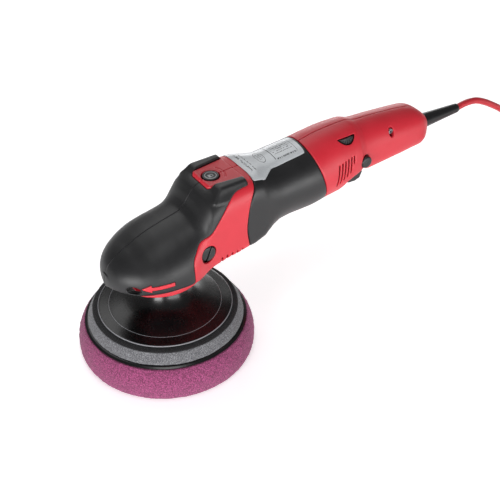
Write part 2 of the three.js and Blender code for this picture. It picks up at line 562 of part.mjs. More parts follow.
add("bearing_flange", lathe(flangeSide, 28), ALUMINIUM);
add("spindle_bearing_lower", bearing(8.8, 20, 100, 110), STEEL);
add("spindle_bearing_upper", bearing(4.5, 9.5, 138.8, 145), STEEL);
const spindleSide = [
  [0, 66.6], [6.9, 66.6], [6.9, 94.8], [14, 94.8], [14, 98],
  [8.4, 98.6], [8.4, 127], [4.2, 131], [4.2, 144.9], [0, 144.9],
];
add("spindle", lathe(spindleSide, 20), STEEL);

// A bevel gear's radii and heights shrink to the apex; s is 1 at its large end.
const FACE = [0.64, 1.03]; // inner and outer end of the teeth, as s
const rootCone = (r) => SHAFT_Z - ((PINION_R + DEDENDUM * BEVEL_MODULE) * r) / CROWN_R;
const CROWN_EDGE = CROWN_R * FACE[1] + 0.6;
const crownInner = CROWN_R * FACE[0] - 0.8;
const blank = [
  [8.7, 113], [CROWN_EDGE, 113], [CROWN_EDGE, rootCone(CROWN_EDGE)], [crownInner, rootCone(crownInner)],
  [8.7, rootCone(crownInner)], [8.7, 113],
];
function crownTooth(i) {
  const step = (2 * Math.PI) / CROWN_TEETH;
  const ends = FACE.map((s) => {
    const [root, tip] = [ROOT_HALF, TIP_HALF].map((half) => half * step * CROWN_R * s);
    const low = rootCone(CROWN_R * s) - 0.3;
    const high = SHAFT_Z - (PINION_R - ADDENDUM * BEVEL_MODULE) * s;
    const corners = [[-root, low], [root, low], [tip, high], [-tip, high]];
    return corners.map(([y, z]) => new THREE.Vector3(CROWN_R * s, y, z));
  });
  return skin(ends).rotate([0, 0, (i * 360) / CROWN_TEETH]);
}
const crownTeeth = Array.from({ length: CROWN_TEETH }, (_, i) => crownTooth(i));
add("crown_gear", joined([lathe(blank, 30), ...crownTeeth]), STEEL);

const halfTooth = Math.PI / PINION_TEETH;
const pinionRing = (s) => flatRing(toothOutline(PINION_TEETH, BEVEL_MODULE, s, halfTooth), CROWN_R * s);
const pinionRings = FACE.map(pinionRing);
const notches = joined([box(-16, 16, -2.7, 2.7, 56, 61.2), box(-2.7, 2.7, -16, 16, 56, 61.2)]);
const lockDisc = disc(13, 56.2, 61, 32).subtract(notches.subtract(disc(9, 50, 70, 24)));
const countershaft = lathe([[0, 24], [4.6, 24], [4.6, 62], [3.4, 62.2], [3.4, 81], [0, 81]], 20);
add("bevel_pinion_shaft", onShaft(joined([skin(pinionRings), countershaft, lockDisc])), STEEL);
add("spur_gear", onShaft(bored(spur(SPUR_TEETH, 64.4, 73.6), 3.4)), STEEL);
add("pinion_bearing_front", onShaft(bearing(4.9, 11, 27, 35.4)), STEEL);
add("pinion_bearing_rear", onShaft(bearing(3.7, 7, 76, 81)), STEEL);
const carrierBores = onMotor(disc(9.7, 70, 90, 28)).add(onShaft(disc(7.3, 70, 90, 24)));
const carrier = form(76, 79.6, WALL + 1, true).subtract(carrierBores);
add("gear_carrier", carrier.intersect(box(70, 90, -50, 50, 100, PLATFORM_Z - 6)), ALUMINIUM);
const NOSE_SCREW_SINK = 9.5; // the heads sit this far below the pockets' middles
for (const [name, side] of [["nose_screw_right", 1], ["nose_screw_left", -1]]) {
  const place = nosePlace(side).addScaledVector(noseAxis(side), -NOSE_SCREW_SINK);
  add(name, aim(screw(3.2, 1.8, 8), place, noseAxis(side)), STEEL);
}

// ---- spindle lock
const lockTop = PLATFORM_Z + 0.6;
const lockButton = joined([disc(8.4, lockTop - 5, lockTop, 28), disc(2.2, 147.4, lockTop - 5, 16)]);
add("spindle_lock_button", lockButton.translate([LOCK_X, 0, 0]), CONTROL_BLACK);
class Helix extends THREE.Curve {
  constructor(r, pitch, turns, z) {
    super();
    Object.assign(this, { r, pitch, turns, z });
  }
  getPoint(t, target = new THREE.Vector3()) {
    const a = 2 * Math.PI * this.turns * t;
    return target.set(this.r * Math.cos(a), this.r * Math.sin(a), this.z + this.pitch * this.turns * t);
  }
}
const sweep = (curve, r, sides, steps) => {
  const section = new THREE.Shape(Array.from({ length: sides }, (_, i) => {
    const a = (2 * Math.PI * i) / sides;
    return new THREE.Vector2(r * Math.cos(a), r * Math.sin(a));
  }));
  return solid(new THREE.ExtrudeGeometry(section, { steps, extrudePath: curve, bevelEnabled: false }));
};
add("lock_spring", sweep(new Helix(4.4, 2.2, 4, 171), 0.55, 4, 32).translate([LOCK_X, 0, 0]), STEEL);

// ---- backing plate and pad
const plateSide = [
  [0, 51.6], [67.6, 51.6], [PLATE_R, 53], [PLATE_R, 53.8], [56, 56], [40, 60.2], [29.5, 65.4], [23.5, 72.6],
  [20.3, 81], [19.2, 88], [19.2, HUB_TOP], [7.2, HUB_TOP], [7.2, 66.3], [0, 66.3],
];
const flats = joined([box(16, 22, -12, 12, 84, 96), box(-22, -16, -12, 12, 84, 96)]);
add("backing_plate", lathe(plateSide, 36).subtract(flats), GLOSS_BLACK);
add("pad_loop_layer", disc(74.7, 50.3, 51.3, 40), HOOK_BLACK);
add("pad_grey_foam", lathe([[0, 39], [80.2, 39], [77.4, 44.6], [75, 50], [0, 50]], 40), FOAM_GREY);
add("pad_interlayer", lathe([[0, 36.3], [83.6, 36.3], [80.9, 38.7], [0, 38.7]], 40), FOAM_BLACK);
const foamSide = [
  [0, 0], [84, 0], [88.6, 1.4], [90.8, 6], [91.3, 13], [90.4, 22], [87.6, 30], [84.2, PAD_TOP], [0, PAD_TOP],
];
add("pad_cutting_foam", lathe(foamSide, 40), FOAM_PURPLE);

// ---- cord, its coil on the floor, and the plug that lies on the coil
const COIL = { x: 565, y: -75, inner: 36, pitch: 7.7, turns: 4, layers: 3 };
const COIL_R = COIL.inner + COIL.pitch * (COIL.turns - 1) + CORD_D / 2;
const CORD_ROUTE = [
  [BOOT_END + 0.8, 0, BOOT_Z], [399, 0, 157.6], [408, 0, 157.4], [418, 0, 155.7], [430, 0, 150.6],
  [443, 0, 143.3], [461.5, 0, 131.3], [474, 0, 120.5], [485, -0.5, 106],
  [493, -1, 89], [499, -2, 71], [504, -3.5, 53],
  [510.5, -5.5, 36], [519.5, -8, 21.5], [530, -10.6, 11.6], [538, -12.4, 7],
];
const TAIL_ROUTE = [[65, 26.8], [50, 27.6], [35, 29.4], [18, 32], [0, 33.8], [-12, 34]];
function curve(points) {
  const knots = points.map((p) => new THREE.Vector3(...p));
  return new THREE.CatmullRomCurve3(knots, false, "centripetal");
}
add("cord_tube", sweep(curve(CORD_ROUTE), CORD_D / 2, 8, 26), CORD_RED);
const coilHeight = CORD_D * COIL.layers;
const coilRing = ringOf(COIL.inner - CORD_D / 2, COIL_R, 0, coilHeight, 32);
add("cord_coil", coilRing.translate([COIL.x, COIL.y, 0]), CORD_RED);
const tail = TAIL_ROUTE.map(([angle, z]) => [
  COIL.x + (angle < 0 ? COIL.inner : COIL.inner * Math.cos(degrees(angle))),
  COIL.y + (angle < 0 ? -5 : COIL.inner * Math.sin(degrees(angle))),
  z,
]);
add("cord_tail", sweep(curve(tail), CORD_D / 2, 8, 12), CORD_RED);
const PLUG = { x: COIL.x + COIL.inner, y: COIL.y - 5.4, z: 34 };
const plugSide = [
  [0, -46], [13.6, -46], [16.4, -43], [16.8, -36], [15.6, -24], [10, -14], [6.4, -6], [5.4, 0], [0, 0],
];
const PLUG_FLATNESS = 0.66;
const plug = lathe(plugSide, 20).scale([1, PLUG_FLATNESS, 1]).rotate([-90, 0, 0]);
add("plug_body", plug.translate([PLUG.x, PLUG.y, PLUG.z]), RUBBER);
for (const [name, side] of [["plug_pin_line", 1], ["plug_pin_neutral", -1]]) {
  const pin = lathe([[0, 0], [2.3, 0], [2.3, 17], [1.2, 19], [0, 19]], 10);
  add(name, along(pin, -1).translate([PLUG.x + side * 9.5, PLUG.y - 46.3, PLUG.z]), BRASS);
}

export default polisher;
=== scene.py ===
import json
import math

import bpy
import numpy as np
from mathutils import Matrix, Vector


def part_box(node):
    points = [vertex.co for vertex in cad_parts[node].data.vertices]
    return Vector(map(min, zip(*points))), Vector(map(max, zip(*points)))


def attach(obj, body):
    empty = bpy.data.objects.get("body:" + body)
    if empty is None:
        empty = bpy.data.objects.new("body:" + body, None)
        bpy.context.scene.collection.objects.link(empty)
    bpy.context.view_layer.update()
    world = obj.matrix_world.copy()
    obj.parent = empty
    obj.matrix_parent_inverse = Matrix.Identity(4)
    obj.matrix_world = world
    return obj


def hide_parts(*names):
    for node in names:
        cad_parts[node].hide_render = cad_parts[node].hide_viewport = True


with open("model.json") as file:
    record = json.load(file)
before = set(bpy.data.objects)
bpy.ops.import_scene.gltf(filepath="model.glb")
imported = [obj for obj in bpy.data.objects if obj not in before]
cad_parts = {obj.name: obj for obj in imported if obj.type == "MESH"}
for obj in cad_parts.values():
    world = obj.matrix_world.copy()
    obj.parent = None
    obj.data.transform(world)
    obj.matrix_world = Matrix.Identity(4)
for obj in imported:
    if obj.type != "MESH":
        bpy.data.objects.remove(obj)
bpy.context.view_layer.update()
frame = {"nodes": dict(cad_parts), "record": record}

MM = 0.001
SHELL_STEP = 0.7
SMALL_STEP = 0.45
LATHE_STEPS = 192
AXIS = 0.02  # radius at which a turned piece's faces close on its axis
METAL = {"Metallic": 1.0}

# ---------------------------------------------------------------- camera
scene = bpy.context.scene
CAMERA_PLACE = Vector((-0.3643, -0.6955, 0.7221))
CAMERA_AIM = Vector((0.4425, 0.6560, -0.6114))
lens = bpy.data.cameras.new("camera")
lens.lens = 72
lens.sensor_width = 36
camera = bpy.data.objects.new("camera", lens)
camera.location = CAMERA_PLACE
camera.rotation_euler = CAMERA_AIM.to_track_quat("-Z", "Y").to_euler()
scene.collection.objects.link(camera)
scene.camera = camera
scene.view_settings.view_transform = "Standard"


# ---------------------------------------------------------------- nodes and colours
def add(tree, kind, inputs=(), **settings):
    """Adds one node: settings are its own properties, and inputs its sockets, each a value or a link."""
    made = tree.nodes.new(kind)
    for name, value in settings.items():
        setattr(made, name, value)
    for socket, value in dict(inputs).items():
        if isinstance(value, bpy.types.NodeSocket):
            tree.links.new(value, made.inputs[socket])
        else:
            made.inputs[socket].default_value = value
    return made


def linear(hex_colour):
    """An sRGB hex colour as linear red, green, blue and alpha."""
    parts = [int(hex_colour[i : i + 2], 16) / 255 for i in (1, 3, 5)]
    return [c / 12.92 if c <= 0.04045 else ((c + 0.055) / 1.055) ** 2.4 for c in parts] + [1]


def blank(name):
    """A new material with its tree, its Principled shader and its Object coordinates."""
    material = bpy.data.materials.new(name)
    material.use_nodes = True
    tree = material.node_tree
    shader = tree.nodes["Principled BSDF"]
    place = add(tree, "ShaderNodeTexCoord").outputs["Object"]
    return material, tree, shader, place


def moulded(name, dark, light, rough, mottle_mm, grain_mm, grain_depth_mm, settings):
    """A finish whose colour and roughness drift between two shades, over a fine grain."""
    material, tree, shader, place = blank(name)
    patches = {"Vector": place, "Scale": 1 / (mottle_mm * MM), "Detail": 3.0}
    drift = add(tree, "ShaderNodeTexNoise", patches).outputs["Fac"]
    shades = {"Factor": drift, 6: linear(dark), 7: linear(light)}
    tone = add(tree, "ShaderNodeMix", shades, data_type="RGBA")
    gloss = add(tree, "ShaderNodeMapRange", {"Value": drift, "To Min": rough[0], "To Max": rough[1]})
    grain = add(tree, "ShaderNodeTexNoise", {"Vector": place, "Scale": 1 / (grain_mm * MM), "Detail": 2.0})
    bump = add(tree, "ShaderNodeBump", {"Height": grain.outputs["Fac"], "Distance": grain_depth_mm * MM})
    tree.links.new(tone.outputs[2], shader.inputs["Base Color"])
    tree.links.new(gloss.outputs["Result"], shader.inputs["Roughness"])
    tree.links.new(bump.outputs["Normal"], shader.inputs["Normal"])
    for socket, value in settings.items():
        shader.inputs[socket].default_value = value
    return material


# ---------------------------------------------------------------- finishes
# Each slot's finish: name, darker and lighter shade, range of roughness, then mottle, grain and grain
# depth in mm, and the shader's other settings.
MOULDED = {
    # Spark-textured red nylon: broad soft highlights, a faint grain.
    "red_housing": ("red_nylon_moulded", "#BE1A2A", "#C92434", (0.38, 0.48), 14, 0.9, 0.05, {"IOR": 1.53}),
    # Soft-touch overmould: a wide dull sheen with no sharp reflection.
    "grip_black": (
        "black_soft_touch_elastomer", "#0E0E10", "#141416", (0.4, 0.5), 12, 0.8, 0.045,
        {"IOR": 1.5, "Sheen Weight": 0.03},
    ),
    # Satin glass-filled nylon: a little tighter than the overmould.
    "motor_black": ("black_nylon_satin", "#0D0D0F", "#131315", (0.36, 0.46), 14, 0.7, 0.03, {"IOR": 1.53}),
    # Smooth ABS of the buttons, trigger and plugs: the tightest highlight of the blacks.
    "control_black": ("black_abs_smooth", "#111113", "#19191B", (0.3, 0.4), 6, 0.6, 0.015, {"IOR": 1.52}),
    # Pressure-cast aluminium: dull and slightly rough.
    "cast_aluminium": ("aluminium_pressure_cast", "#9A9DA0", "#B4B6B9", (0.42, 0.6), 7, 0.8, 0.08, METAL),
    # Turned and ground steel: bright with a fine haze.
    "machined_steel": ("steel_turned", "#8C8F93", "#A6A8AB", (0.24, 0.36), 5, 0.35, 0.02, METAL),
    # Brass worn smooth: a warm, clear reflection.
    "brass": ("brass_drawn", "#A87B31", "#C4974A", (0.26, 0.4), 5, 0.5, 0.02, METAL),
    # Enamelled copper wire: warm and glossy.
    "copper_winding": ("copper_wire_enamelled", "#8E4A25", "#B9683A", (0.25, 0.4), 3, 0.5, 0.12, METAL),
    # Pressed carbon of the brushes: matt black.
    "carbon": ("carbon_pressed", "#1E1E20", "#2E2E30", (0.6, 0.75), 2, 0.4, 0.03, {"IOR": 1.7}),
    # Unpainted inner nylon: flat mid grey.
    "inner_plastic": ("grey_nylon_inner", "#404044", "#505054", (0.5, 0.62), 8, 0.8, 0.03, {"IOR": 1.53}),
    # Moulded rubber of the cord's boot and plug: the deepest black, with a soft edge light.
    "rubber_black": ("black_rubber_moulded", "#08080A", "#101012", (0.3, 0.4), 8, 0.7, 0.02, {"IOR": 1.52}),
    # PVC sheath of the cord: a long clean highlight down its length.
    "cord_red": ("red_pvc_sheath", "#A81C27", "#C12632", (0.36, 0.46), 6, 0.6, 0.02, {"IOR": 1.53}),
    # Woven loop layer: matt, with a dark tuft pattern.
    "hook_black": (
        "black_hook_fabric", "#0F0F11", "#26262A", (0.85, 0.95), 1.1, 0.9, 0.5,
        {"IOR": 1.45, "Sheen Weight": 0.25},
    ),
    # Bonding film between the foams: a dark, fairly glossy line.
    "foam_black": ("black_bonded_interlayer", "#050506", "#0D0D0F", (0.16, 0.26), 8, 1.2, 0.06, {"IOR": 1.5}),
}


def make_finishes():
    """One material for each slot of the record."""
    kit = {slot: moulded(*look) for slot, look in MOULDED.items()}
    # Firm grey foam: fine light struts over dark pores.
    kit["foam_grey"] = foam("grey_polyurethane_foam", "#353538", "#8A8A8E", 0.8, 0.3)
    # Cutting foam: the same open cells in purple, a little coarser.
    kit["foam_purple"] = foam("purple_open_cell_foam", "#4C1834", "#AC4E80", 0.9, 0.4)
    kit["plate_gloss_black"] = gloss_plate()
    kit["label_silver"] = rating_film()
    return kit


def foam(name, dark, light, cell_mm, depth_mm):
    """Open-cell foam: pores darker than the struts round them, matt, with a faint sheen at its edges."""
    material, tree, shader, place = blank(name)
    cells = add(tree, "ShaderNodeTexVoronoi", {"Vector": place, "Scale": 1 / (cell_mm * MM)}, feature="F1")
    broad = {"Vector": place, "Scale": 1 / (cell_mm * 1.4 * MM), "Detail": 4.0}
    cloud = add(tree, "ShaderNodeTexNoise", broad)
    depths = {0: cells.outputs["Distance"], 1: cloud.outputs["Fac"]}
    mixed = add(tree, "ShaderNodeMath", depths, operation="MULTIPLY")
    spread = add(tree, "ShaderNodeMapRange", {"Value": mixed.outputs[0], "From Min": 0.08, "From Max": 0.42})
    shades = {"Factor": spread.outputs["Result"], 6: linear(dark), 7: linear(light)}
    tone = add(tree, "ShaderNodeMix", shades, data_type="RGBA")
    bump = add(tree, "ShaderNodeBump", {"Height": spread.outputs["Result"], "Distance": depth_mm * MM})
    tree.links.new(tone.outputs[2], shader.inputs["Base Color"])
    tree.links.new(bump.outputs["Normal"], shader.inputs["Normal"])
    shader.inputs["Roughness"].default_value = 0.92
    shader.inputs["IOR"].default_value = 1.45
    shader.inputs["Sheen Weight"].default_value = 0.12
    return material


# The plate's two painted highlights, light lines along the outer and inner edges of its rim: each one's
# radius and half width.
PLATE_EDGE_HIGHLIGHTS = {"rim": {1: 68.7 * MM, 2: 0.45 * MM}, "inner": {1: 57.6 * MM, 2: 0.2 * MM}}


def gloss_plate():
    """Lacquered black backing plate: glossy, with two painted highlight rings along its rim's edges and a
    faint ripple.
    """
    material, tree, shader, place = blank("black_lacquer_polished")
    apart = add(tree, "ShaderNodeSeparateXYZ", {0: place})
    flat = add(tree, "ShaderNodeCombineXYZ", {0: apart.outputs[0], 1: apart.outputs[1]})
    radius = add(tree, "ShaderNodeVectorMath", {0: flat.outputs[0]}, operation="LENGTH").outputs["Value"]
    # Painted highlights: rim and inner are the lines where the rim's outer and inner edges catch the light,
    # painted into the colour.
    rim = add(tree, "ShaderNodeMath", {0: radius, **PLATE_EDGE_HIGHLIGHTS["rim"]}, operation="COMPARE")
    inner = add(tree, "ShaderNodeMath", {0: radius, **PLATE_EDGE_HIGHLIGHTS["inner"]}, operation="COMPARE")
    painted_edge_highlights = add(tree, "ShaderNodeMath", {0: rim.outputs[0], 1: inner.outputs[0]}, operation="MAXIMUM")
    ripple = add(tree, "ShaderNodeTexNoise", {"Vector": place, "Scale": 1 / (9 * MM), "Detail": 2.0})
    bump = add(tree, "ShaderNodeBump", {"Height": ripple.outputs["Fac"], "Distance": 0.03 * MM})
    # 8F8F94 is the light grey of the painted highlight rings over the plate's black.
    colours = {"Factor": painted_edge_highlights.outputs[0], 6: linear("#060607"), 7: linear("#8F8F94")}
    tone = add(tree, "ShaderNodeMix", colours, data_type="RGBA")
    haze = add(tree, "ShaderNodeMapRange", {"Value": ripple.outputs["Fac"], "To Min": 0.24, "To Max": 0.3})
    tree.links.new(tone.outputs[2], shader.inputs["Base Color"])
    tree.links.new(haze.outputs["Result"], shader.inputs["Roughness"])
    tree.links.new(bump.outputs["Normal"], shader.inputs["Normal"])
    shader.inputs["IOR"].default_value = 1.5
    return material


def rating_film():
    """Printed silver polyester film: rows of unreadable small print, two rules and an oval mark."""
    material, tree, shader, place = blank("silver_polyester_film_printed")
    apart = add(tree, "ShaderNodeSeparateXYZ", {0: place})
    x, y = apart.outputs[0], apart.outputs[1]

    def band(value, middle, half):
        inputs = {0: value, 1: middle * MM, 2: half * MM}
        return add(tree, "ShaderNodeMath", inputs, operation="COMPARE").outputs[0]

    def both(a, b):
        return add(tree, "ShaderNodeMath", {0: a, 1: b}, operation="MULTIPLY").outputs[0]

    def either(parts):
        total = parts[0]
        for part in parts[1:]:
            total = add(tree, "ShaderNodeMath", {0: total, 1: part}, operation="MAXIMUM").outputs[0]
        return total

    # strokes: a noise stretched across the line, cut at half height
    stretch = add(tree, "ShaderNodeVectorMath", {0: place, 1: (1.0, 0.35, 0.0)}, operation="MULTIPLY")
    fine = {"Vector": stretch.outputs[0], "Scale": 1 / (0.9 * MM), "Detail": 0.0}
    ink = add(tree, "ShaderNodeTexNoise", fine)
    halfway = {0: ink.outputs["Fac"], 1: 0.5}
    strokes = add(tree, "ShaderNodeMath", halfway, operation="GREATER_THAN").outputs[0]
    rows = either([band(y, 10.5 - 3.1 * i, 0.62) for i in range(6)])
    small_print = both(both(rows, band(x, 141.5, 11)), strokes)
    headline = both(both(band(y, -11.6, 0.9), band(x, 142, 12)), strokes)
    rules = both(either([band(x, 128.2, 0.45), band(x, 154.6, 0.2)]), band(y, 0.5, 12))
    title = both(both(either([band(x, 96.5, 1.1), band(x, 100.8, 0.6)]), band(y, 0, 17)), strokes)
    oval_centre = (115.5 * MM, 0.0, 187 * MM)
    offset = add(tree, "ShaderNodeVectorMath", {0: place, 1: oval_centre}, operation="SUBTRACT")
    oval_stretch = {0: offset.outputs[0], 1: (1.7, 0.8, 0.0)}
    squash = add(tree, "ShaderNodeVectorMath", oval_stretch, operation="MULTIPLY")
    oval = add(tree, "ShaderNodeVectorMath", {0: squash.outputs[0]}, operation="LENGTH").outputs["Value"]
    inside_oval = add(tree, "ShaderNodeMath", {0: oval, 1: 6.2 * MM}, operation="LESS_THAN").outputs[0]
    oval_lines = either([band(y, k, 0.5) for k in (-4.5, -2.2, 0, 2.2, 4.5)])
    oval_rows = both(both(oval_lines, inside_oval), strokes)
    mark = either([band(oval, 7.6, 0.35), oval_rows])
    printed = either([small_print, headline, rules, title, mark])
    faded = add(tree, "ShaderNodeMath", {0: printed, 1: 0.95}, operation="MULTIPLY").outputs[0]
    brushed = add(tree, "ShaderNodeTexNoise", {"Vector": place, "Scale": 1 / (1.6 * MM), "Detail": 3.0})
    silver = {"Factor": brushed.outputs["Fac"], 6: linear("#B2B6BA"), 7: linear("#D0D3D6")}
    ground = add(tree, "ShaderNodeMix", silver, data_type="RGBA")
    colours = {"Factor": faded, 6: ground.outputs[2], 7: linear("#2A2C30")}
    tone = add(tree, "ShaderNodeMix", colours, data_type="RGBA")
    haze = {"Value": brushed.outputs["Fac"], "To Min": 0.26, "To Max": 0.36}
    gloss = add(tree, "ShaderNodeMapRange", haze)
    tree.links.new(tone.outputs[2], shader.inputs["Base Color"])
    tree.links.new(gloss.outputs["Result"], shader.inputs["Roughness"])
    shader.inputs["Metallic"].default_value = 0.15
    shader.inputs["IOR"].default_value = 1.57
    return material


FINISH = make_finishes()


# ---------------------------------------------------------------- meshes
def place_piece(name, points, faces, body, nodes, slot, material=None, crisp=None):
    """A mesh piece from points in millimetres. crisp is the angle past which an edge stays sharp."""
    mesh = bpy.data.meshes.new(name)
    corners = (np.asarray(points, float) * MM).tolist()
    mesh.from_pydata(corners, [], [tuple(f) for f in np.asarray(faces).tolist()])
    mesh.validate()
    mesh.polygons.foreach_set("use_smooth", [True] * len(mesh.polygons))
    if crisp:
        mesh.set_sharp_from_angle(angle=math.radians(crisp))
    mesh.materials.append(material or FINISH[slot])
    made = bpy.data.objects.new(name, mesh)
    scene.collection.objects.link(made)
    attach(made, body)
    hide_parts(*nodes)
    return made


def signed_volume(points, quads):
    """Volume inside quads, negative if they face inwards."""
    a, b, c, d = (points[quads[:, i]] for i in range(4))
    return (np.einsum("ij,ij->", a, np.cross(b, c)) + np.einsum("ij,ij->", a, np.cross(c, d))) / 6


def revolve(profile, steps=LATHE_STEPS, trim=None):
    """A closed profile of (radius, height) turned about Z. trim(angle, radius, height) may pull it in."""
    angle = np.linspace(0, 2 * np.pi, steps, endpoint=False)
    rows = []
    for r, z in profile:
        ring = np.full(steps, float(r))
        if trim:
            ring = trim(angle, ring, z)
        level = np.full(steps, float(z))
        rows.append(np.stack([ring * np.cos(angle), ring * np.sin(angle), level], axis=1))
    points = np.concatenate(rows)
    around = np.arange(steps)
    ahead = (around + 1) % steps
    count = len(profile)
    quads = []
    for k in range(count):
        low, high = k * steps, (k + 1) % count * steps
        quads.append(np.stack([low + around, low + ahead, high + ahead, high + around], axis=1))
    quads = np.concatenate(quads)
    if signed_volume(points, quads) < 0:
        quads = quads[:, ::-1]
    return points, quads


def rounded(profile, radius=0.4, cuts=3):
    """A closed outline with each corner replaced by a short arc."""
    corners = np.asarray(profile, float)
    made = []
    for before, here, after in zip(np.roll(corners, 1, axis=0), corners, np.roll(corners, -1, axis=0)):
        to_before, to_after = before - here, after - here
        length = min(np.hypot(*to_before), np.hypot(*to_after)) * 0.45
        cut = min(radius, length)
        start = here + to_before / np.hypot(*to_before) * cut
        end = here + to_after / np.hypot(*to_after) * cut
        for t in np.linspace(0, 1, cuts):
            made.append((1 - t) ** 2 * start + 2 * t * (1 - t) * here + t * t * end)
    return made


def split_long(profile, longest):
    """The same closed outline with its long sides cut into shorter ones."""
    made = []
    corners = np.asarray(profile, float)
    for here, after in zip(corners, np.roll(corners, -1, axis=0)):
        count = max(1, math.ceil(np.hypot(*(after - here)) / longest))
        made += [here + (after - here) * k / count for k in range(count)]
    return made


# ---------------------------------------------------------------- distance fields
class Grid:
    """Sample points in millimetres over a box, as three axes that broadcast."""

    def __init__(self, low, high, step):
        self.low, self.step = np.array(low, float), step
        counts = [int(math.ceil((b - a) / step)) + 1 for a, b in zip(low, high)]
        x, y, z = (a + step * np.arange(n) for a, n in zip(low, counts))
        self.x = x[:, None, None]
        self.y = y[None, :, None]
        self.z = z[None, None, :]
        self.shape = tuple(counts)


def soft_max(a, b, blend):
    """The larger of two fields, rounded over a width where they meet."""
    near = np.maximum(blend - np.abs(a - b), 0) / blend
    return np.maximum(a, b) + near * near * blend / 4


def soft_min(a, b, blend):
    """The smaller of two fields, filled over a width where they meet."""
    return -soft_max(-a, -b, blend)


def outline_field(points, across, up):
    """Distance to a closed outline in a plane, negative inside it."""
    corners = np.asarray(points, float)
    nearest = np.full(np.broadcast(across, up).shape, 1e9)
    inside = np.zeros(nearest.shape, bool)
    for (ax, ay), (bx, by) in zip(corners, np.roll(corners, -1, axis=0)):
        dx, dy = bx - ax, by - ay
        t = np.clip(((across - ax) * dx + (up - ay) * dy) / (dx * dx + dy * dy), 0, 1)
        nearest = np.minimum(nearest, (across - ax - t * dx) ** 2 + (up - ay - t * dy) ** 2)
        if ay != by:
            crosses = (ay > up) != (by > up)
            inside ^= crosses & (across < dx * (up - ay) / dy + ax)
    return np.where(inside, -1, 1) * np.sqrt(nearest)


def bent(points, per_side=6):
    """A smooth curve through points, as more points."""
    knots = np.asarray(points, float)
    ends = [2 * knots[0] - knots[1], *knots, 2 * knots[-1] - knots[-2]]
    made = []
    for a, b, c, d in zip(ends, ends[1:], ends[2:], ends[3:]):
        for t in np.arange(per_side) / per_side:
            bend = (2 * a - 5 * b + 4 * c - d) * t * t
            turn = (3 * b - a - 3 * c + d) * t**3
            made.append(0.5 * (2 * b + (c - a) * t + bend + turn))
    return made + [knots[-1]]


def steady(knots, values, at):
    """A curve through knots that never overshoots them, by cubic pieces."""
    knots, values = np.asarray(knots, float), np.asarray(values, float)
    gaps = np.diff(knots)
    rise = np.diff(values) / gaps
    slope = np.concatenate([[rise[0]], np.zeros(len(rise) - 1), [rise[-1]]])
    same = rise[1:] * rise[:-1] > 0
    pair = np.where(same, rise[1:] + rise[:-1], 1)
    slope[1:-1] = np.where(same, 2 * rise[1:] * rise[:-1] / pair, 0)
    k = np.clip(np.searchsorted(knots, at) - 1, 0, len(rise) - 1)
    t = np.clip((at - knots[k]) / gaps[k], 0, 1)
    a, b = values[k], values[k + 1]
    return (
        a * (1 + 2 * t) * (1 - t) ** 2
        + b * t * t * (3 - 2 * t)
        + gaps[k] * (slope[k] * t * (1 - t) ** 2 - slope[k + 1] * t * t * (1 - t))
    )


def surface_net(field, grid):
    """Quads over the surface where a field is zero, negative inside. The grid's own border closes it."""
    field = np.pad(np.broadcast_to(field, grid.shape)[1:-1, 1:-1, 1:-1], 1, constant_values=grid.step)
    inside = field < 0
    corners = [(i, j, k) for i in (0, 1) for j in (0, 1) for k in (0, 1)]
    nx, ny, nz = (n - 1 for n in field.shape)
    count = np.zeros((nx, ny, nz), np.uint8)
    for i, j, k in corners:
        count += inside[i : i + nx, j : j + ny, k : k + nz]
    cells = np.argwhere((count > 0) & (count < 8))
    number = np.full((nx, ny, nz), -1)
    number[tuple(cells.T)] = np.arange(len(cells))
    value = {c: field[tuple((cells + c).T)] for c in corners}
    total = np.zeros((len(cells), 3))
    hits = np.zeros((len(cells), 1))
    for corner in corners:
        for axis in range(3):
            if corner[axis]:
                continue
            unit = np.eye(3)[axis]
            here, there = value[corner], value[tuple((np.array(corner) + unit).astype(int))]
            crossed = (here < 0) != (there < 0)
            share = np.where(crossed, here / np.where(crossed, here - there, 1), 0)[:, None]
            total += crossed[:, None] * (np.array(corner) + share * unit)
            hits += crossed[:, None]
    points = settled(cells + total / hits, field)
    quads = []
    for axis in range(3):
        u, v = (axis + 1) % 3, (axis + 2) % 3
        lower = np.moveaxis(np.moveaxis(inside, axis, 0)[:-1], 0, axis)
        upper = np.moveaxis(np.moveaxis(inside, axis, 0)[1:], 0, axis)
        edges = np.argwhere(lower != upper)
        edges = edges[(edges[:, u] > 0) & (edges[:, v] > 0)]
        du, dv = np.eye(3, dtype=int)[u], np.eye(3, dtype=int)[v]
        ring = [number[tuple((edges - shift).T)] for shift in (du + dv, dv, 0 * du, du)]
        quad = np.stack(ring, axis=1)
        quads.append(np.where(lower[tuple(edges.T)][:, None], quad, quad[:, ::-1]))
    return grid.low + grid.step * points, np.concatenate(quads)


def settled(points, field):
    """Grid-space points moved along the field's slope onto its zero surface."""
    slopes = np.gradient(field)
    top = np.array(field.shape) - 2
    start = points.copy()
    for _ in range(3):
        base = np.clip(np.floor(points).astype(int), 0, top)
        part = points - base
        sums = np.zeros((4, len(points)))
        for i in (0, 1):
            for j in (0, 1):
                for k in (0, 1):
                    at = (base[:, 0] + i, base[:, 1] + j, base[:, 2] + k)
                    share = [p if side else 1 - p for p, side in zip(part.T, (i, j, k))]
                    weight = share[0] * share[1] * share[2]
                    for n, grid_values in enumerate((field, *slopes)):
                        sums[n] += weight * grid_values[at]
        steep = np.maximum((sums[1:] ** 2).sum(axis=0), 0.05)
        points = points - (sums[0] / steep * sums[1:]).T
        points = start + np.clip(points - start, -0.6, 0.6)
    return points


# ---------------------------------------------------------------- the housing's outer form
WALL = 3.0
GAP = 0.3
PLATFORM_Z = 185.5
HEAD_BASE = 101.5
TAIL_X = 331.5
FULL = 49.8  # the form's widest half width
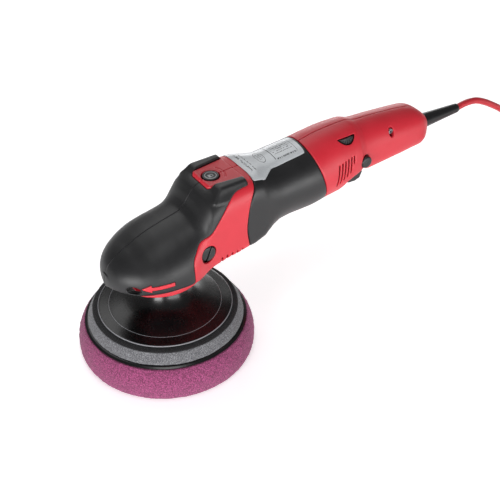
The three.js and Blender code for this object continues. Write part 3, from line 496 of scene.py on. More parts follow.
# Stations along X: half width, top, bottom, height of the widest line, squareness of each half, upper first.
FORM = np.array([
    (-64, 3, 114.5, 106, 110, 2, 2),
    (-62.6, 10.5, 118.5, 103.6, 111, 2, 2.5),
    (-58, 21.1, 127, 102.2, 112, 2.1, 3),
    (-50, 31.2, 134, 101.5, 112, 2.1, 3.5),
    (-40, 39, 139.4, 101.5, 112, 2.1, 4),
    (-27, 45.3, 145.6, 101.5, 112, 2.1, 4),
    (-13, 48.9, 150.6, 101.5, 112, 2.1, 4),
    (2, 49.8, 154.4, 101.5, 112, 2.1, 4.5),
    (13, 48, 156.8, 101.8, 114, 2.2, 6),
    (21, 45, 159, 102.6, 118, 2.4, 8),
    (27, 42.6, 164, 103.4, 124, 2.6, 9),
    (33, 41, 172.8, 104.2, 130, 3, 9),
    (39, 40.2, 179.2, 104.9, 135, 3.6, 9),
    (46, 39.5, 182.4, 105.6, 138, 4, 9),
    (62, 38.7, 184, 107.4, 140, 4.2, 9),
    (84, 38, 185.5, 110.4, 140, 4.2, 9),
    (98, 37.8, 186, 113.6, 146, 3.4, 8),
    (105, 37.4, 186, 114, 149, 2.6, 4.8),
    (113, 37.1, 185.6, 114, 151, 2.2, 3),
    (124, 37, 185.8, 114, 151, 2, 2.2),
    (140, 37, 187.2, 114, 151, 2, 2),
    (163, 37.4, 189, 114.4, 151, 2, 2),
    (183, 36.4, 192.4, 117.6, 151.5, 2, 2),
    (200, 35.5, 193.6, 119.5, 152, 2.1, 2),
    (213, 34.4, 194, 122.5, 153, 2.1, 2.2),
    (224, 32.4, 193.9, 129, 156, 2.1, 2.6),
    (229, 29.6, 192.6, 132.5, 158.5, 2.1, 3),
    (235, 27.6, 190.4, 135, 160, 2.1, 3.5),
    (251, 26.7, 189.2, 136.8, 160, 2.1, 4),
    (284, 26.3, 186.3, 138.3, 160, 2.1, 3.5),
    (302, 25.4, 184, 139.4, 160, 2.2, 3.4),
    (310, 24.6, 182.4, 139.8, 160, 2.4, 3.6),
    (317, 23, 179.8, 140.4, 159.5, 2.6, 4),
    (323, 20.2, 176, 141.4, 158.5, 2.8, 4),
    (328, 16.4, 171.4, 143.2, 157.5, 2.8, 3.6),
    (TAIL_X, 12, 167, 146, 156.5, 2.6, 3),
])
STATION = FORM[:, 0]
HALF, TOP, BASE, MID, UP, LOW = FORM[:, 1:].T


def form_field(grid):
    """Distance from the outer form, negative inside."""
    x, z = grid.x, grid.z
    size = steady(STATION, HALF**2, x)
    before = (HALF[1] ** 2 - HALF[0] ** 2) / (STATION[1] - STATION[0])
    size = size + before * np.minimum(x - STATION[0], 0)
    mid = steady(STATION, MID, x)
    upper = steady(STATION, (TOP - MID) / HALF, x)
    lower = steady(STATION, (MID - BASE) / HALF, x)
    above = z > mid
    power = np.where(above, steady(STATION, UP, x), steady(STATION, LOW, x))
    u = np.abs(grid.y) / FULL
    v = np.abs(z - mid) / np.where(above, upper, lower) / FULL
    value = FULL**2 * (np.maximum(u**power + v**power, 1e-9) ** (2 / power)) - size
    slope = np.sqrt(sum(part**2 for part in np.gradient(value, grid.step)))
    return value / np.maximum(slope, 8)


def form_top(x, y):
    """Height of the form's upper face over a point."""
    half = np.sqrt(steady(STATION, HALF**2, x))
    mid = steady(STATION, MID, x)
    rise = steady(STATION, (TOP - MID) / HALF, x) * half
    power = steady(STATION, UP, x)
    return mid + rise * np.maximum(1 - (np.abs(y) / half) ** power, 0) ** (1 / power)


def hollow(skin):
    """A wall of even thickness inside a skin."""
    return soft_max(skin, -(skin + WALL), 0.4)


def cylinder_field(grid, axis, centre, radius):
    """Distance from an endless cylinder along an axis, through a point given on the other two."""
    a, b = [(grid.y, grid.z), (grid.x, grid.z), (grid.x, grid.y)]["xyz".index(axis)]
    return np.hypot(a - centre[0], b - centre[1]) - radius


def half_of(grid, side, seam=0.1):
    """Distance from the half of the object on one side of its parting line."""
    return seam - side * grid.y


def cut(field, tool, blend=0.5):
    """A field with another taken out of it."""
    return soft_max(field, -tool, blend)


def box_field(grid, low, high, blend=0.6):
    """Distance from a box between two corners."""
    field = np.maximum(low[0] - grid.x, grid.x - high[0])
    for part in (low[1] - grid.y, grid.y - high[1], low[2] - grid.z, grid.z - high[2]):
        field = soft_max(field, part, blend)
    return field


# ---------------------------------------------------------------- shells of the gear head
COVER_CURVE = bent([
    (9, 105.5), (9.3, 126.6), (16, 137.2), (23, 143.6), (34, 148.6),
    (43.5, 158.7), (55, 171.4), (66.5, 179.6), (84, 182),
])
SLEEVE_CURVE = bent([(94, 192), (88, 178), (80.5, 163.3), (76.8, 141.6), (77.6, 125), (84, 98)])
PLATFORM_HALF = [(46, 13.5), (48.5, 16.5), (84, 20.6)]
PLATFORM_OUTLINE = PLATFORM_HALF + [(x, -y) for x, y in reversed(PLATFORM_HALF)]
PLUG = {"x": 29, "z": 127.5, "y": 41, "r": 8.2}
# MOUTH opens the underside, COLLAR is the ring round it, HOOD_SLOTS are cut in the hood's lower edge,
# and RIDGE is the cover's raised strip beside the platform.
MOUTH = {"x": -6, "long": 49, "wide": 39, "deep": 10.5}
COLLAR = {"x": -5, "z": 100.1, "long": 45, "wide": 44.5, "bore": 36.5, "half_height": 2.9}
HOOD_SLOTS = {"count": 5, "x": 45.9, "step": 6.2, "half": 0.9, "top": 115.5}
COVER_REAR = 83.8
RIDGE = {"front": 46.5, "rear": 82.6, "inner": 16.0, "outer": 28.5, "foot": 176, "top": 188.1}
LOCK_X = 58.5
LOCK_HOLE = 9.3
NOSE = {"x": -47.5, "y": 30, "z": 110.5, "ahead": 0.849, "out": 0.529, "long": 7.2, "high": 4.6, "deep": 12}
ARROW = [
    (-43, 114), (-43, 113), (-35, 109.2), (-35, 111.6),
    (-13.5, 113.2), (-13.5, 117.2), (-35, 115.4), (-35, 117.8),
]
SIDES = {"left": -1, "right": 1}


def cover_region(grid):
    """Distance from the line between grip cover and hood, negative on the cover's side."""
    outline = [(-90, 60), (-70, 90), (-26, 101.9), *COVER_CURVE, (84, 240), (-90, 240)]
    return outline_field(outline, grid.x, grid.z)


def front_region(grid):
    """Distance from the motor sleeve's front edge, negative ahead of it."""
    return outline_field([*SLEEVE_CURVE, (84, 40), (-120, 40), (-120, 260), (94, 260)], grid.x, grid.z)


def platform_region(grid, grow=0.0):
    """Distance from the raised block round the lock button, negative inside."""
    return soft_max(outline_field(PLATFORM_OUTLINE, grid.x, grid.y) - grow, 179 - grid.z, 0.2)


def underside_opening(grid):
    """The oval mouth round the spindle's flange."""
    rim = (np.hypot((grid.x - MOUTH["x"]) / MOUTH["long"], grid.y / MOUTH["wide"]) - 1) * MOUTH["wide"]
    return soft_max(rim, grid.z - (HEAD_BASE + MOUTH["deep"]), 0.5)


def ridge_field(grid, side):
    """A rounded slab beside the platform: steep inside, pointed ahead, square behind."""
    y = side * grid.y
    inner = RIDGE["inner"] + (grid.x - 48.5) * 0.115 - y
    outer = (y - RIDGE["outer"]) * 0.9 + (grid.z - 186) * 0.45
    slab = soft_max(inner, outer, 3.2)
    slab = soft_max(soft_max(slab, grid.z - RIDGE["top"], 2.6), RIDGE["foot"] - grid.z, 1.0)
    slab = soft_max(slab, grid.x - RIDGE["rear"], 2.4)
    return soft_max(slab, (RIDGE["front"] - grid.x) * 0.75 + (grid.z - 182) * 0.55, 3.0)


def side_hole(grid, side):
    """The round hole in the hood's side that the plug fills."""
    rim = cylinder_field(grid, "y", (PLUG["x"], PLUG["z"]), PLUG["r"] + 1)
    return soft_max(rim, 27 - side * grid.y, 0.4)


def nose_pocket(grid, side):
    """An oval pocket low on the nose, for a screw."""
    ax, ay = -NOSE["ahead"], side * NOSE["out"]
    px, py, pz = grid.x - NOSE["x"], grid.y - side * NOSE["y"], grid.z - NOSE["z"]
    oval = (np.hypot((ay * px - ax * py) / NOSE["long"], pz / NOSE["high"]) - 1) * NOSE["high"]
    return soft_max(oval, -NOSE["deep"] - (ax * px + ay * py), 0.4)


def collar_field(grid):
    """The low collar that shows as a crescent between the grip cover and the plate's hub."""
    mouth = np.hypot(grid.x, grid.y) - COLLAR["bore"]
    rim = (np.hypot((grid.x - COLLAR["x"]) / COLLAR["long"], grid.y / COLLAR["wide"]) - 1) * COLLAR["wide"]
    height = np.abs(grid.z - COLLAR["z"]) - COLLAR["half_height"]
    return soft_max(soft_max(rim, -mouth, 0.8), height, 1.4)


def make_hood(side_name):
    """Half of the red hood, with its platform, lock button hole, collar and lower slots."""
    side = SIDES[side_name]
    low, high = ((-66, -0.6), (99, 52)) if side > 0 else ((-66, -52), (99, 0.6))
    grid = Grid((low[0], low[1], 95), (high[0], high[1], 190), SHELL_STEP)
    skin = form_field(grid)
    shell = cut(hollow(skin), underside_opening(grid))
    cover = cover_region(grid)
    front = front_region(grid) + 0.15
    shell = soft_min(shell, collar_field(grid), 0.8)
    hood = soft_max(soft_max(shell, 0.15 - cover, 0.7), front, 0.7)
    slab = soft_max(platform_region(grid), grid.z - PLATFORM_Z, 1.2)
    slab = soft_max(slab, (47.2 - grid.x) * 0.7 + (grid.z - 184.6) * 0.7, 0.6)
    hood = soft_min(hood, soft_max(soft_max(slab, 180.5 - grid.z, 0.4), front, 0.7), 0.6)
    hole = cylinder_field(grid, "z", (LOCK_X, 0), LOCK_HOLE)
    hood = cut(hood, hole, 1.4)
    from_hole = hole + LOCK_HOLE
    full_ring = np.maximum(np.abs(from_hole - 11.2) - 0.35, PLATFORM_Z - 0.5 - grid.z)
    rear_arc = np.maximum(np.abs(from_hole - 14.6) - 0.6, PLATFORM_Z - 0.8 - grid.z)
    rear_arc = np.maximum(rear_arc, np.abs(grid.y) * 1.1 - (grid.x - LOCK_X))
    hood = cut(cut(hood, full_ring, 0.4), rear_arc, 0.4)
    hood = cut(hood, side_hole(grid, side), 1.0)
    for i in range(HOOD_SLOTS["count"]):
        x, half = HOOD_SLOTS["x"] + HOOD_SLOTS["step"] * i, HOOD_SLOTS["half"]
        hood = cut(hood, box_field(grid, (x - half, -60, 90), (x + half, 60, HOOD_SLOTS["top"])), 0.4)
    hood = soft_max(hood, half_of(grid, side), 0.5)
    points, quads = surface_net(hood, grid)
    name = f"hood_{side_name}"
    place_piece(f"{name}_shell", points, quads, "housing", [name], "red_housing")


def make_grip_cover(side_name):
    """Half of the soft cover over the nose, with the ridge beside the platform."""
    side = SIDES[side_name]
    y0, y1 = (-0.6, 53) if side > 0 else (-53, 0.6)
    grid = Grid((-67, y0, 98), (87, y1, 191), SHELL_STEP)
    skin = form_field(grid)
    raised = soft_min(skin, ridge_field(grid, side), 3.0)
    shell = soft_max(raised, -(skin + WALL), 0.4)
    shell = cut(shell, underside_opening(grid))
    cover = soft_max(soft_max(shell, cover_region(grid) + 0.15, 0.9), grid.x - COVER_REAR, 0.9)
    cover = cut(cover, platform_region(grid, GAP), 0.6)
    cover = cut(cover, cylinder_field(grid, "z", (LOCK_X, 0), LOCK_HOLE))
    cover = cut(cut(cover, side_hole(grid, side)), nose_pocket(grid, side), 1.2)
    if side < 0:
        arrow = outline_field(ARROW, grid.x, grid.z) - 0.2
        cover = cut(cover, np.maximum(arrow, -(skin + 1.3)), 0.3)
    cover = soft_max(cover, half_of(grid, side, 0.04), 0.35)
    points, quads = surface_net(cover, grid)
    name = f"grip_cover_{side_name}"
    place_piece(f"{name}_shell", points, quads, "housing", [name], "grip_black")


def make_arrow():
    """The inlaid arrow that shows which way the pad turns."""
    grid = Grid((-45, -54, 107), (-11, -24, 120), SMALL_STEP)
    skin = form_field(grid)
    plate = soft_max(skin - 0.15, -(skin + 1.1), 0.4)
    arrow = soft_max(soft_max(plate, outline_field(ARROW, grid.x, grid.z), 0.4), grid.y + 20, 0.4)
    points, quads = surface_net(arrow, grid)
    place_piece("direction_arrow_inlay", points, quads, "housing", ["direction_arrow"], "red_housing")


def make_side_plug(side_name):
    """A turned plug with a coin slot, set into the side of the hood."""
    side = SIDES[side_name]
    x, z, r = PLUG["x"], PLUG["z"], PLUG["r"]
    face = PLUG["y"] + 0.8
    grid = Grid((x - 10, 27, z - 10), (x + 10, face + 1.5, z + 10), SMALL_STEP)
    disc = cylinder_field(grid, "y", (x, z), r)
    crown = grid.y - face + (disc + r) ** 2 / 90
    head = soft_max(soft_max(disc, crown, 1.2), PLUG["y"] - 6.6 - grid.y, 0.4)
    tail = soft_max(soft_max(disc + r - 4, 28.4 - grid.y, 0.4), grid.y - face + 3, 0.4)
    plug = soft_min(head, tail, 0.5)
    tilt = math.radians(24)
    across = (grid.x - x) * math.cos(tilt) - (grid.z - z) * math.sin(tilt)
    plug = cut(plug, np.maximum(np.abs(across) - 0.95, face - 2.4 - grid.y), 0.5)
    points, quads = surface_net(plug, grid)
    points[:, 1] *= side
    if side < 0:
        quads = quads[:, ::-1]
    name = f"handle_plug_{side_name}"
    place_piece(f"{name}_slotted", points, quads, "housing", [name], "control_black")


# ---------------------------------------------------------------- motor sleeve and its label
SLEEVE_REAR, SLEEVE_TOP = 163.0, 188
REAR_SLANT = 0.28
LABEL_EDGE = [(90.5, 27.6), (102, 28.2), (104.5, 27.4), (117, 18.6), (120, 18), (150, 17.4), (160, 17)]
LABEL_LIFT, LABEL_SINK = 0.7, 0.35


def rear_edge(z):
    """Where the sleeve ends and the handle starts, which slants back towards the bottom."""
    return SLEEVE_REAR + (SLEEVE_TOP - z) * REAR_SLANT


def make_sleeve():
    """The tube round the motor, between hood and handle."""
    grid = Grid((74, -40, 111), (189, 40, 192), SHELL_STEP * 1.1)
    shell = hollow(form_field(grid))
    behind = 0.15 + GAP - front_region(grid)
    sleeve = soft_max(soft_max(shell, behind, 0.9), grid.x - rear_edge(grid.z), 0.9)
    points, quads = surface_net(sleeve, grid)
    place_piece("motor_sleeve_shell", points, quads, "housing", ["motor_sleeve"], "motor_black")


def make_label():
    """The film: a thin plate that follows the sleeve's top, with rounded corners and a soft edge."""
    corner = 1.6
    along = np.linspace(LABEL_EDGE[0][0], LABEL_EDGE[-1][0], 96)
    edge_x, edge_y = np.array(LABEL_EDGE).T
    half = np.interp(along, edge_x, edge_y)
    to_end = np.minimum(along - along[0], along[-1] - along)
    half = half - corner + np.sqrt(np.clip(corner**2 - np.maximum(corner - to_end, 0) ** 2, 0, None))
    across = np.linspace(-1, 1, 41)
    x = np.repeat(along[:, None], len(across), axis=1)
    y = half[:, None] * across[None, :]
    z = form_top(x, y)
    fade = (1 - np.abs(across) ** 12)[None, :]
    upper = np.stack([x, y, z + LABEL_LIFT * (0.5 + 0.5 * fade)], axis=2)
    under = np.stack([x, y, z - LABEL_SINK], axis=2)
    points = np.concatenate([upper.reshape(-1, 3), under.reshape(-1, 3)])
    rows, columns = x.shape
    number = np.arange(rows * columns).reshape(rows, columns)
    top = np.stack([number[:-1, :-1], number[1:, :-1], number[1:, 1:], number[:-1, 1:]], axis=2)
    top = top.reshape(-1, 4)
    rim = np.concatenate([number[0, :], number[1:, -1], number[-1, -2::-1], number[-2:0:-1, 0]])
    after = np.roll(rim, -1)
    under_shift = rows * columns
    wall = np.stack([rim, after, after + under_shift, rim + under_shift], axis=1)
    quads = np.concatenate([top, top[:, ::-1] + under_shift, wall[:, ::-1]])
    if signed_volume(points, quads) < 0:
        quads = quads[:, ::-1]
    place_piece("rating_label_film", points, quads, "housing", ["rating_label"], "label_silver", crisp=40)


# ---------------------------------------------------------------- rear handle and its controls
TRIGGER = {"x0": 215, "x1": 241.5, "half": 14.6}
LOCK_ON = {"x": 230.6, "z": 155.6, "r": 6.6, "face": 33}
DIAL = {"x": 210, "y": -12.2, "z0": 180.4, "z1": 186.2, "r": 12.4}
SCREW = {"x": 270, "z": 174.5, "head": 21.5, "wide": 3.3, "tall": 5.2, "mean": 3.8}
BOOT_Z = 156.0
BOOT_HOLE = 6.9
# The cooling slots, each its place along, its middle's height and its length. The last is a stub.
VENTS = [(191.5 + 4.3 * i, 154 + 1.7 * i, 24 - 1.6 * i) for i in range(5)] + [(213.0, 165.5, 8)]
VENT_LEAN = math.radians(8)
# What the lower edge leaves open beside the trigger, and the higher arch of the same on the flanks.
GUARD = [(203, 100), (205, 120), (210, 128.5), (217, 134.5), (232, 136.5), (243.5, 138), (243.5, 100)]
FLANK = 17  # half width of what lies between the flanks
FLANK_GUARD = [
    (200, 100), (202, 134), (206, 141), (213, 144.6), (224, 147),
    (230, 146.4), (236, 142), (243.5, 138), (243.5, 100),
]


def make_handle(side_name):
    """Half of the rear handle, with what it opens for the controls, the screw, the vents and the cord."""
    side = SIDES[side_name]
    y0, y1 = (-0.7, 39) if side > 0 else (-39, 0.7)
    grid = Grid((161, y0, 112), (TAIL_X + 1.5, y1, 196), SHELL_STEP)
    flank = np.maximum(outline_field(FLANK_GUARD, grid.x, grid.z), FLANK - np.abs(grid.y))
    guard = np.minimum(outline_field(GUARD, grid.x, grid.z), flank)
    skin = cut(soft_max(form_field(grid), grid.x - TAIL_X, 2.0), guard, 1.6)
    shell = soft_max(skin, -(skin + WALL), 0.4)
    shell = soft_max(shell, rear_edge(grid.z) + 2 * GAP - grid.x, 0.9)
    boss = cylinder_field(grid, "y", (SCREW["x"], SCREW["z"]), 5.4)
    shell = soft_min(shell, soft_max(boss, skin + 1.5, 0.4), 0.6)
    slot_half = TRIGGER["half"] + 0.6
    slot_low = (TRIGGER["x0"] - 0.6, -slot_half, 100)
    slot_high = (TRIGGER["x1"] + 0.8, slot_half, 141.5)
    shell = cut(shell, box_field(grid, slot_low, slot_high), 0.9)
    shell = cut(shell, cylinder_field(grid, "x", (0, BOOT_Z), BOOT_HOLE), 0.8)
    for x, z, length in VENTS:
        across = (grid.x - x) * math.cos(VENT_LEAN) - (grid.z - z) * math.sin(VENT_LEAN)
        ends = np.maximum(np.abs(grid.z - z) - length / 2 + 0.9, 0)
        vent = np.hypot(across, ends) - 0.95
        shell = cut(shell, soft_max(vent, 20 - np.abs(grid.y), 0.3), 0.5)
    if side < 0:
        button = cylinder_field(grid, "y", (LOCK_ON["x"], LOCK_ON["z"]), LOCK_ON["r"] + 0.4)
        shell = cut(shell, soft_max(button, grid.y + 8, 0.3), 0.8)
        well = np.hypot((grid.x - SCREW["x"]) / SCREW["wide"], (grid.z - SCREW["z"]) / SCREW["tall"])
        well = (well - 1) * SCREW["mean"]
        shell = cut(shell, soft_max(well, grid.y + SCREW["head"] - 3.4, 0.3), 0.6)
        window = cylinder_field(grid, "z", (DIAL["x"], DIAL["y"]), DIAL["r"] + 0.9)
        window = soft_max(soft_max(window, DIAL["z0"] - 0.6 - grid.z, 0.5), grid.z - DIAL["z1"] - 0.7, 0.5)
        shell = cut(shell, window, 0.7)
    shell = soft_max(shell, half_of(grid, side, 0.16), 0.6)
    points, quads = surface_net(shell, grid)
    name = f"handle_shell_{side_name}"
    place_piece(f"{name}_moulding", points, quads, "housing", [name], "red_housing")


def make_trigger():
    """The paddle: a bar with a bowed underside and rounded ends."""
    side_view = [
        (215, 137.5), (215.4, 129), (218.5, 124.4), (224, 122), (232, 121.6),
        (238.6, 123.6), (241.5, 130.5), (241.3, 139), (216, 139),
    ]
    grid = Grid((213.5, -16, 120), (243, 16, 140.5), SMALL_STEP)
    bar = outline_field(side_view, grid.x, grid.z)
    bar = soft_max(bar, np.abs(grid.y) - TRIGGER["half"], 3.2)
    points, quads = surface_net(bar, grid)
    place_piece("trigger_paddle_moulding", points, quads, "trigger_paddle", ["trigger"], "control_black")


def toward_left(points, at):
    """Points made about Z, laid so that their +Z points along -Y, and moved to a place."""
    return np.stack([points[:, 0], -points[:, 2], points[:, 1]], axis=1) + at


def make_lock_on():
    """The button that holds the trigger pulled: a low dished cap on its stem."""
    r, face = LOCK_ON["r"], LOCK_ON["face"]
    stem = [(AXIS, 12.6), (2.4, 12.6), (2.4, 23.6), (r, 23.6)]
    cap = [(r, face - 1.5), (r - 0.5, face - 0.5), (r - 1.6, face), (r * 0.5, face - 0.35)]
    cap.append((AXIS, face - 0.5))
    side = stem + cap
    points, quads = revolve(rounded(side, 0.35), 64)
    points = toward_left(points, (LOCK_ON["x"], 0, LOCK_ON["z"]))
    node = "lock_on_button"
    place_piece("lock_on_button_cap", points, quads, "lock_on", [node], "control_black", crisp=50)


def make_lock_button():
    """The spindle lock: a dished cap with a raised ring and a shackle mark, on its stem."""
    low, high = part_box("spindle_lock_button")
    top, stem = high.z / MM, 2.2
    foot = low.z / MM
    shaft = [(AXIS, foot), (stem, foot), (stem, 176), (8.4, 176)]
    rim = [(8.4, top - 0.8), (7.7, top - 0.1), (6.6, top), (6.1, top - 0.4)]
    dish = [(5.2, top - 0.4), (4.8, top - 0.9), (AXIS, top - 1.0)]
    side = shaft + rim + dish
    points, quads = revolve(rounded(side, 0.25), 96)
    points[:, 0] += LOCK_X
    names = ("spindle_lock", ["spindle_lock_button"], "control_black")
    place_piece("spindle_lock_cap", points, quads, *names, lock_mark(), crisp=50)


def lock_mark():
    """The lock button's ABS with a pale printed ring and a plain shackle and body inside it."""
    look = ("#1B1B1D", "#252528", (0.34, 0.42), 6, 0.6, 0.015, {"IOR": 1.52})
    material = moulded("black_abs_printed_ring", *look)
    tree = material.node_tree
    shader = tree.nodes["Principled BSDF"]
    place = next(n for n in tree.nodes if n.type == "TEX_COORD").outputs["Object"]
    plain = shader.inputs["Base Color"].links[0].from_socket
    middle = {0: place, 1: (LOCK_X * MM, 0.0, 0.0)}
    centred = add(tree, "ShaderNodeVectorMath", middle, operation="SUBTRACT").outputs[0]
    apart = add(tree, "ShaderNodeSeparateXYZ", {0: centred})
    across, along = apart.outputs[1], apart.outputs[0]

    def distance(shift):
        ahead = {0: centred, 1: (shift * MM, 0.0, 0.0)}
        moved = add(tree, "ShaderNodeVectorMath", ahead, operation="SUBTRACT")
        plan = {0: moved.outputs[0], 1: (1.0, 1.0, 0.0)}
        flat = add(tree, "ShaderNodeVectorMath", plan, operation="MULTIPLY")
        return add(tree, "ShaderNodeVectorMath", {0: flat.outputs[0]}, operation="LENGTH").outputs["Value"]

    def near(value, middle, half):
        inputs = {0: value, 1: middle * MM, 2: half * MM}
        return add(tree, "ShaderNodeMath", inputs, operation="COMPARE").outputs[0]

    ring = near(distance(0.0), 5.7, 0.4)
    shackle = near(distance(0.9), 1.7, 0.35)
    sides = {0: near(across, 0, 2.2), 1: near(along, -1.2, 1.2)}
    block = add(tree, "ShaderNodeMath", sides, operation="MULTIPLY").outputs[0]
    mark = add(tree, "ShaderNodeMath", {0: ring, 1: shackle}, operation="MAXIMUM").outputs[0]
    mark = add(tree, "ShaderNodeMath", {0: mark, 1: block}, operation="MAXIMUM").outputs[0]
    faded = add(tree, "ShaderNodeMath", {0: mark, 1: 0.55}, operation="MULTIPLY").outputs[0]
    tone = add(tree, "ShaderNodeMix", {"Factor": faded, 6: plain, 7: linear("#C9CBCE")}, data_type="RGBA")
    tree.links.new(tone.outputs[2], shader.inputs["Base Color"])
    return material


# ---------------------------------------------------------------- what repeats, by Geometry Nodes
def new_tree(name, sizes):
    """A geometry node group with a named input for each size."""
    tree = bpy.data.node_groups.new(name, "GeometryNodeTree")
    tree.interface.new_socket("Geometry", in_out="INPUT", socket_type="NodeSocketGeometry")
    tree.interface.new_socket("Geometry", in_out="OUTPUT", socket_type="NodeSocketGeometry")
    for label, value in sizes.items():
        kind = "NodeSocketInt" if isinstance(value, int) else "NodeSocketFloat"
        tree.interface.new_socket(label, in_out="INPUT", socket_type=kind).default_value = value
    given = tree.nodes.new("NodeGroupInput").outputs
    return tree, given


def grown(name, tree, sizes, body, nodes):
    """Runs a tree on an empty mesh and keeps its result as a plain piece."""
    seedling = bpy.data.objects.new(f"{name}_seedling", bpy.data.meshes.new(f"{name}_seedling"))
    scene.collection.objects.link(seedling)
    modifier = seedling.modifiers.new("grow", "NODES")
    modifier.node_group = tree
    for item in tree.interface.items_tree:
        if item.in_out == "INPUT" and item.name in sizes:
            modifier[item.identifier] = sizes[item.name]
    graph = bpy.context.evaluated_depsgraph_get()
    mesh = bpy.data.meshes.new_from_object(seedling.evaluated_get(graph))
    mesh.name = name
    bpy.data.objects.remove(seedling)
    made = bpy.data.objects.new(name, mesh)
    scene.collection.objects.link(made)
    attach(made, body)
    if nodes:
        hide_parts(*nodes)
    return made


RIB_RADIUS = 0.9


def make_dial():
    """The speed dial: a hub disc with ribs round its rim, as a ring of rounded bars on a turned core."""
    core = DIAL["r"] - RIB_RADIUS
    sizes = {
        "Rib count": 28,
        "Ring radius": core * MM,
        "Rib radius": RIB_RADIUS * MM,
        "Height": (DIAL["z1"] - DIAL["z0"] - 0.6) * MM,
    }
    tree, given = new_tree("ring_of_ribs", sizes)
    ring = {"Vertices": given["Rib count"], "Radius": given["Ring radius"]}
    circle = add(tree, "GeometryNodeMeshCircle", ring)
    upright = {"Vertices": 10, "Side Segments": 2, "Radius": given["Rib radius"], "Depth": given["Height"]}
    bar = add(tree, "GeometryNodeMeshCylinder", upright)
    copies = {"Points": circle.outputs["Mesh"], "Instance": bar.outputs["Mesh"]}
    bars = add(tree, "GeometryNodeInstanceOnPoints", copies)
    centre = (DIAL["x"] * MM, DIAL["y"] * MM, (DIAL["z0"] + DIAL["z1"]) / 2 * MM)
    real = add(tree, "GeometryNodeRealizeInstances", {"Geometry": bars.outputs[0]})
    moved = add(tree, "GeometryNodeTransform", {"Geometry": real.outputs[0], "Translation": centre})
    coat = {"Geometry": moved.outputs[0], "Material": FINISH["control_black"]}
    shaded = add(tree, "GeometryNodeSetMaterial", coat)
    add(tree, "NodeGroupOutput", {"Geometry": shaded.outputs[0]})
    grown("speed_dial_ribs", tree, sizes, "dial", [])
    z0, z1 = DIAL["z0"], DIAL["z1"]
    side = [(AXIS, 170.3), (3, 170.3), (3, z0), (core, z0), (core, z1), (core - 3, z1), (AXIS, z1 - 0.5)]
    points, quads = revolve(rounded(side, 0.4), 96)
    points += (DIAL["x"], DIAL["y"], 0)
    place_piece("speed_dial_core", points, quads, "dial", ["speed_dial"], "control_black", crisp=40)


def make_pile():
    """Small loops standing on the part of the pad's hook layer that shows past the plate."""
    sizes = {
        "Outer radius": 74.3 * MM,
        "Inner radius": 66.0 * MM,
        "Base height": 51.2 * MM,
        "Spacing": 0.9 * MM,
        "Loop radius": 0.45 * MM,
        "Seed": 7,
    }
    tree, given = new_tree("loop_pile", sizes)
    face = {"Vertices": 96, "Radius": given["Outer radius"]}
    outer = add(tree, "GeometryNodeMeshCircle", face, fill_type="NGON")
    scatter = {
        "Mesh": outer.outputs[0],
        "Distance Min": given["Spacing"],
        "Density Max": 1.6e6,
        "Seed": given["Seed"],
    }
    points = add(tree, "GeometryNodeDistributePointsOnFaces", scatter, distribute_method="POISSON")
    where = add(tree, "GeometryNodeInputPosition")
    reach = add(tree, "ShaderNodeVectorMath", {0: where.outputs[0]}, operation="LENGTH")
    limits = {"A": reach.outputs["Value"], "B": given["Inner radius"]}
    inside = add(tree, "FunctionNodeCompare", limits, operation="LESS_THAN")
    under_plate = {"Geometry": points.outputs["Points"], "Selection": inside.outputs[0]}
    kept = add(tree, "GeometryNodeDeleteGeometry", under_plate, domain="POINT")
    loop = add(tree, "GeometryNodeCurvePrimitiveCircle", {"Resolution": 6, "Radius": given["Loop radius"]})
    yarn = add(tree, "GeometryNodeCurvePrimitiveCircle", {"Resolution": 3, "Radius": 0.13 * MM})
    sweep = {"Curve": loop.outputs[0], "Profile Curve": yarn.outputs[0]}
    strand = add(tree, "GeometryNodeCurveToMesh", sweep)
    angles = {0: (1.2, -0.4, 0.0), 1: (1.9, 0.4, 6.28), "Seed": given["Seed"]}
    turn = add(tree, "FunctionNodeRandomValue", angles, data_type="FLOAT_VECTOR")
    copies = {"Points": kept.outputs[0], "Instance": strand.outputs[0], "Rotation": turn.outputs[0]}
    loops = add(tree, "GeometryNodeInstanceOnPoints", copies)
    real = add(tree, "GeometryNodeRealizeInstances", {"Geometry": loops.outputs[0]})
    lift = add(tree, "ShaderNodeCombineXYZ", {2: given["Base height"]})
    raised = {"Geometry": real.outputs[0], "Translation": lift.outputs[0]}
    moved = add(tree, "GeometryNodeTransform", raised)
    coat = {"Geometry": moved.outputs[0], "Material": FINISH["hook_black"]}
    shaded = add(tree, "GeometryNodeSetMaterial", coat)
    add(tree, "NodeGroupOutput", {"Geometry": shaded.outputs[0]})
    grown("pad_loop_pile", tree, sizes, "spindle_and_pad", [])


# ---------------------------------------------------------------- backing plate and pad
def arc(centre, radius, start, end, cuts=8):
    """Points of a circle's arc in a turned profile, by degrees."""
    angles = np.radians(np.linspace(start, end, cuts))
    return [(centre[0] + radius * math.cos(a), centre[1] + radius * math.sin(a)) for a in angles]


FLAT_APART, FLAT_HALF, FLAT_FOOT = 16, 12, 84  # the wrench flats' distance out, half width and lower end


def make_plate():
    """The backing plate: a flat-rimmed dish that sweeps up into a hub with two wrench flats."""
    sweep = bent([(56, 56), (40, 60.2), (29.5, 65.4), (23.5, 72.6), (20.3, 81), (19.2, 88)], 5)
    rim = [(AXIS, 51.6), (67.6, 51.6), (69, 53), (69, 53.8), (58.5, 55.3)]
    hub = [(19.2, 93.6), (18.3, 94.5), (7.2, 94.5), (7.2, 66.3), (AXIS, 66.3)]
    side = [*rim, *sweep, *hub]

    def flats(angle, ring, z):
        across = np.abs(ring * np.sin(angle)) < FLAT_HALF
        cuts = across & (z > FLAT_FOOT) & (ring > FLAT_APART)
        return np.where(cuts, FLAT_APART / np.abs(np.cos(angle)), ring)

    points, quads = revolve(split_long(rounded(side, 0.35), 3), LATHE_STEPS, flats)
    names = ("spindle_and_pad", ["backing_plate"], "plate_gloss_black")
    place_piece("backing_plate_lacquered", points, quads, *names, crisp=38)


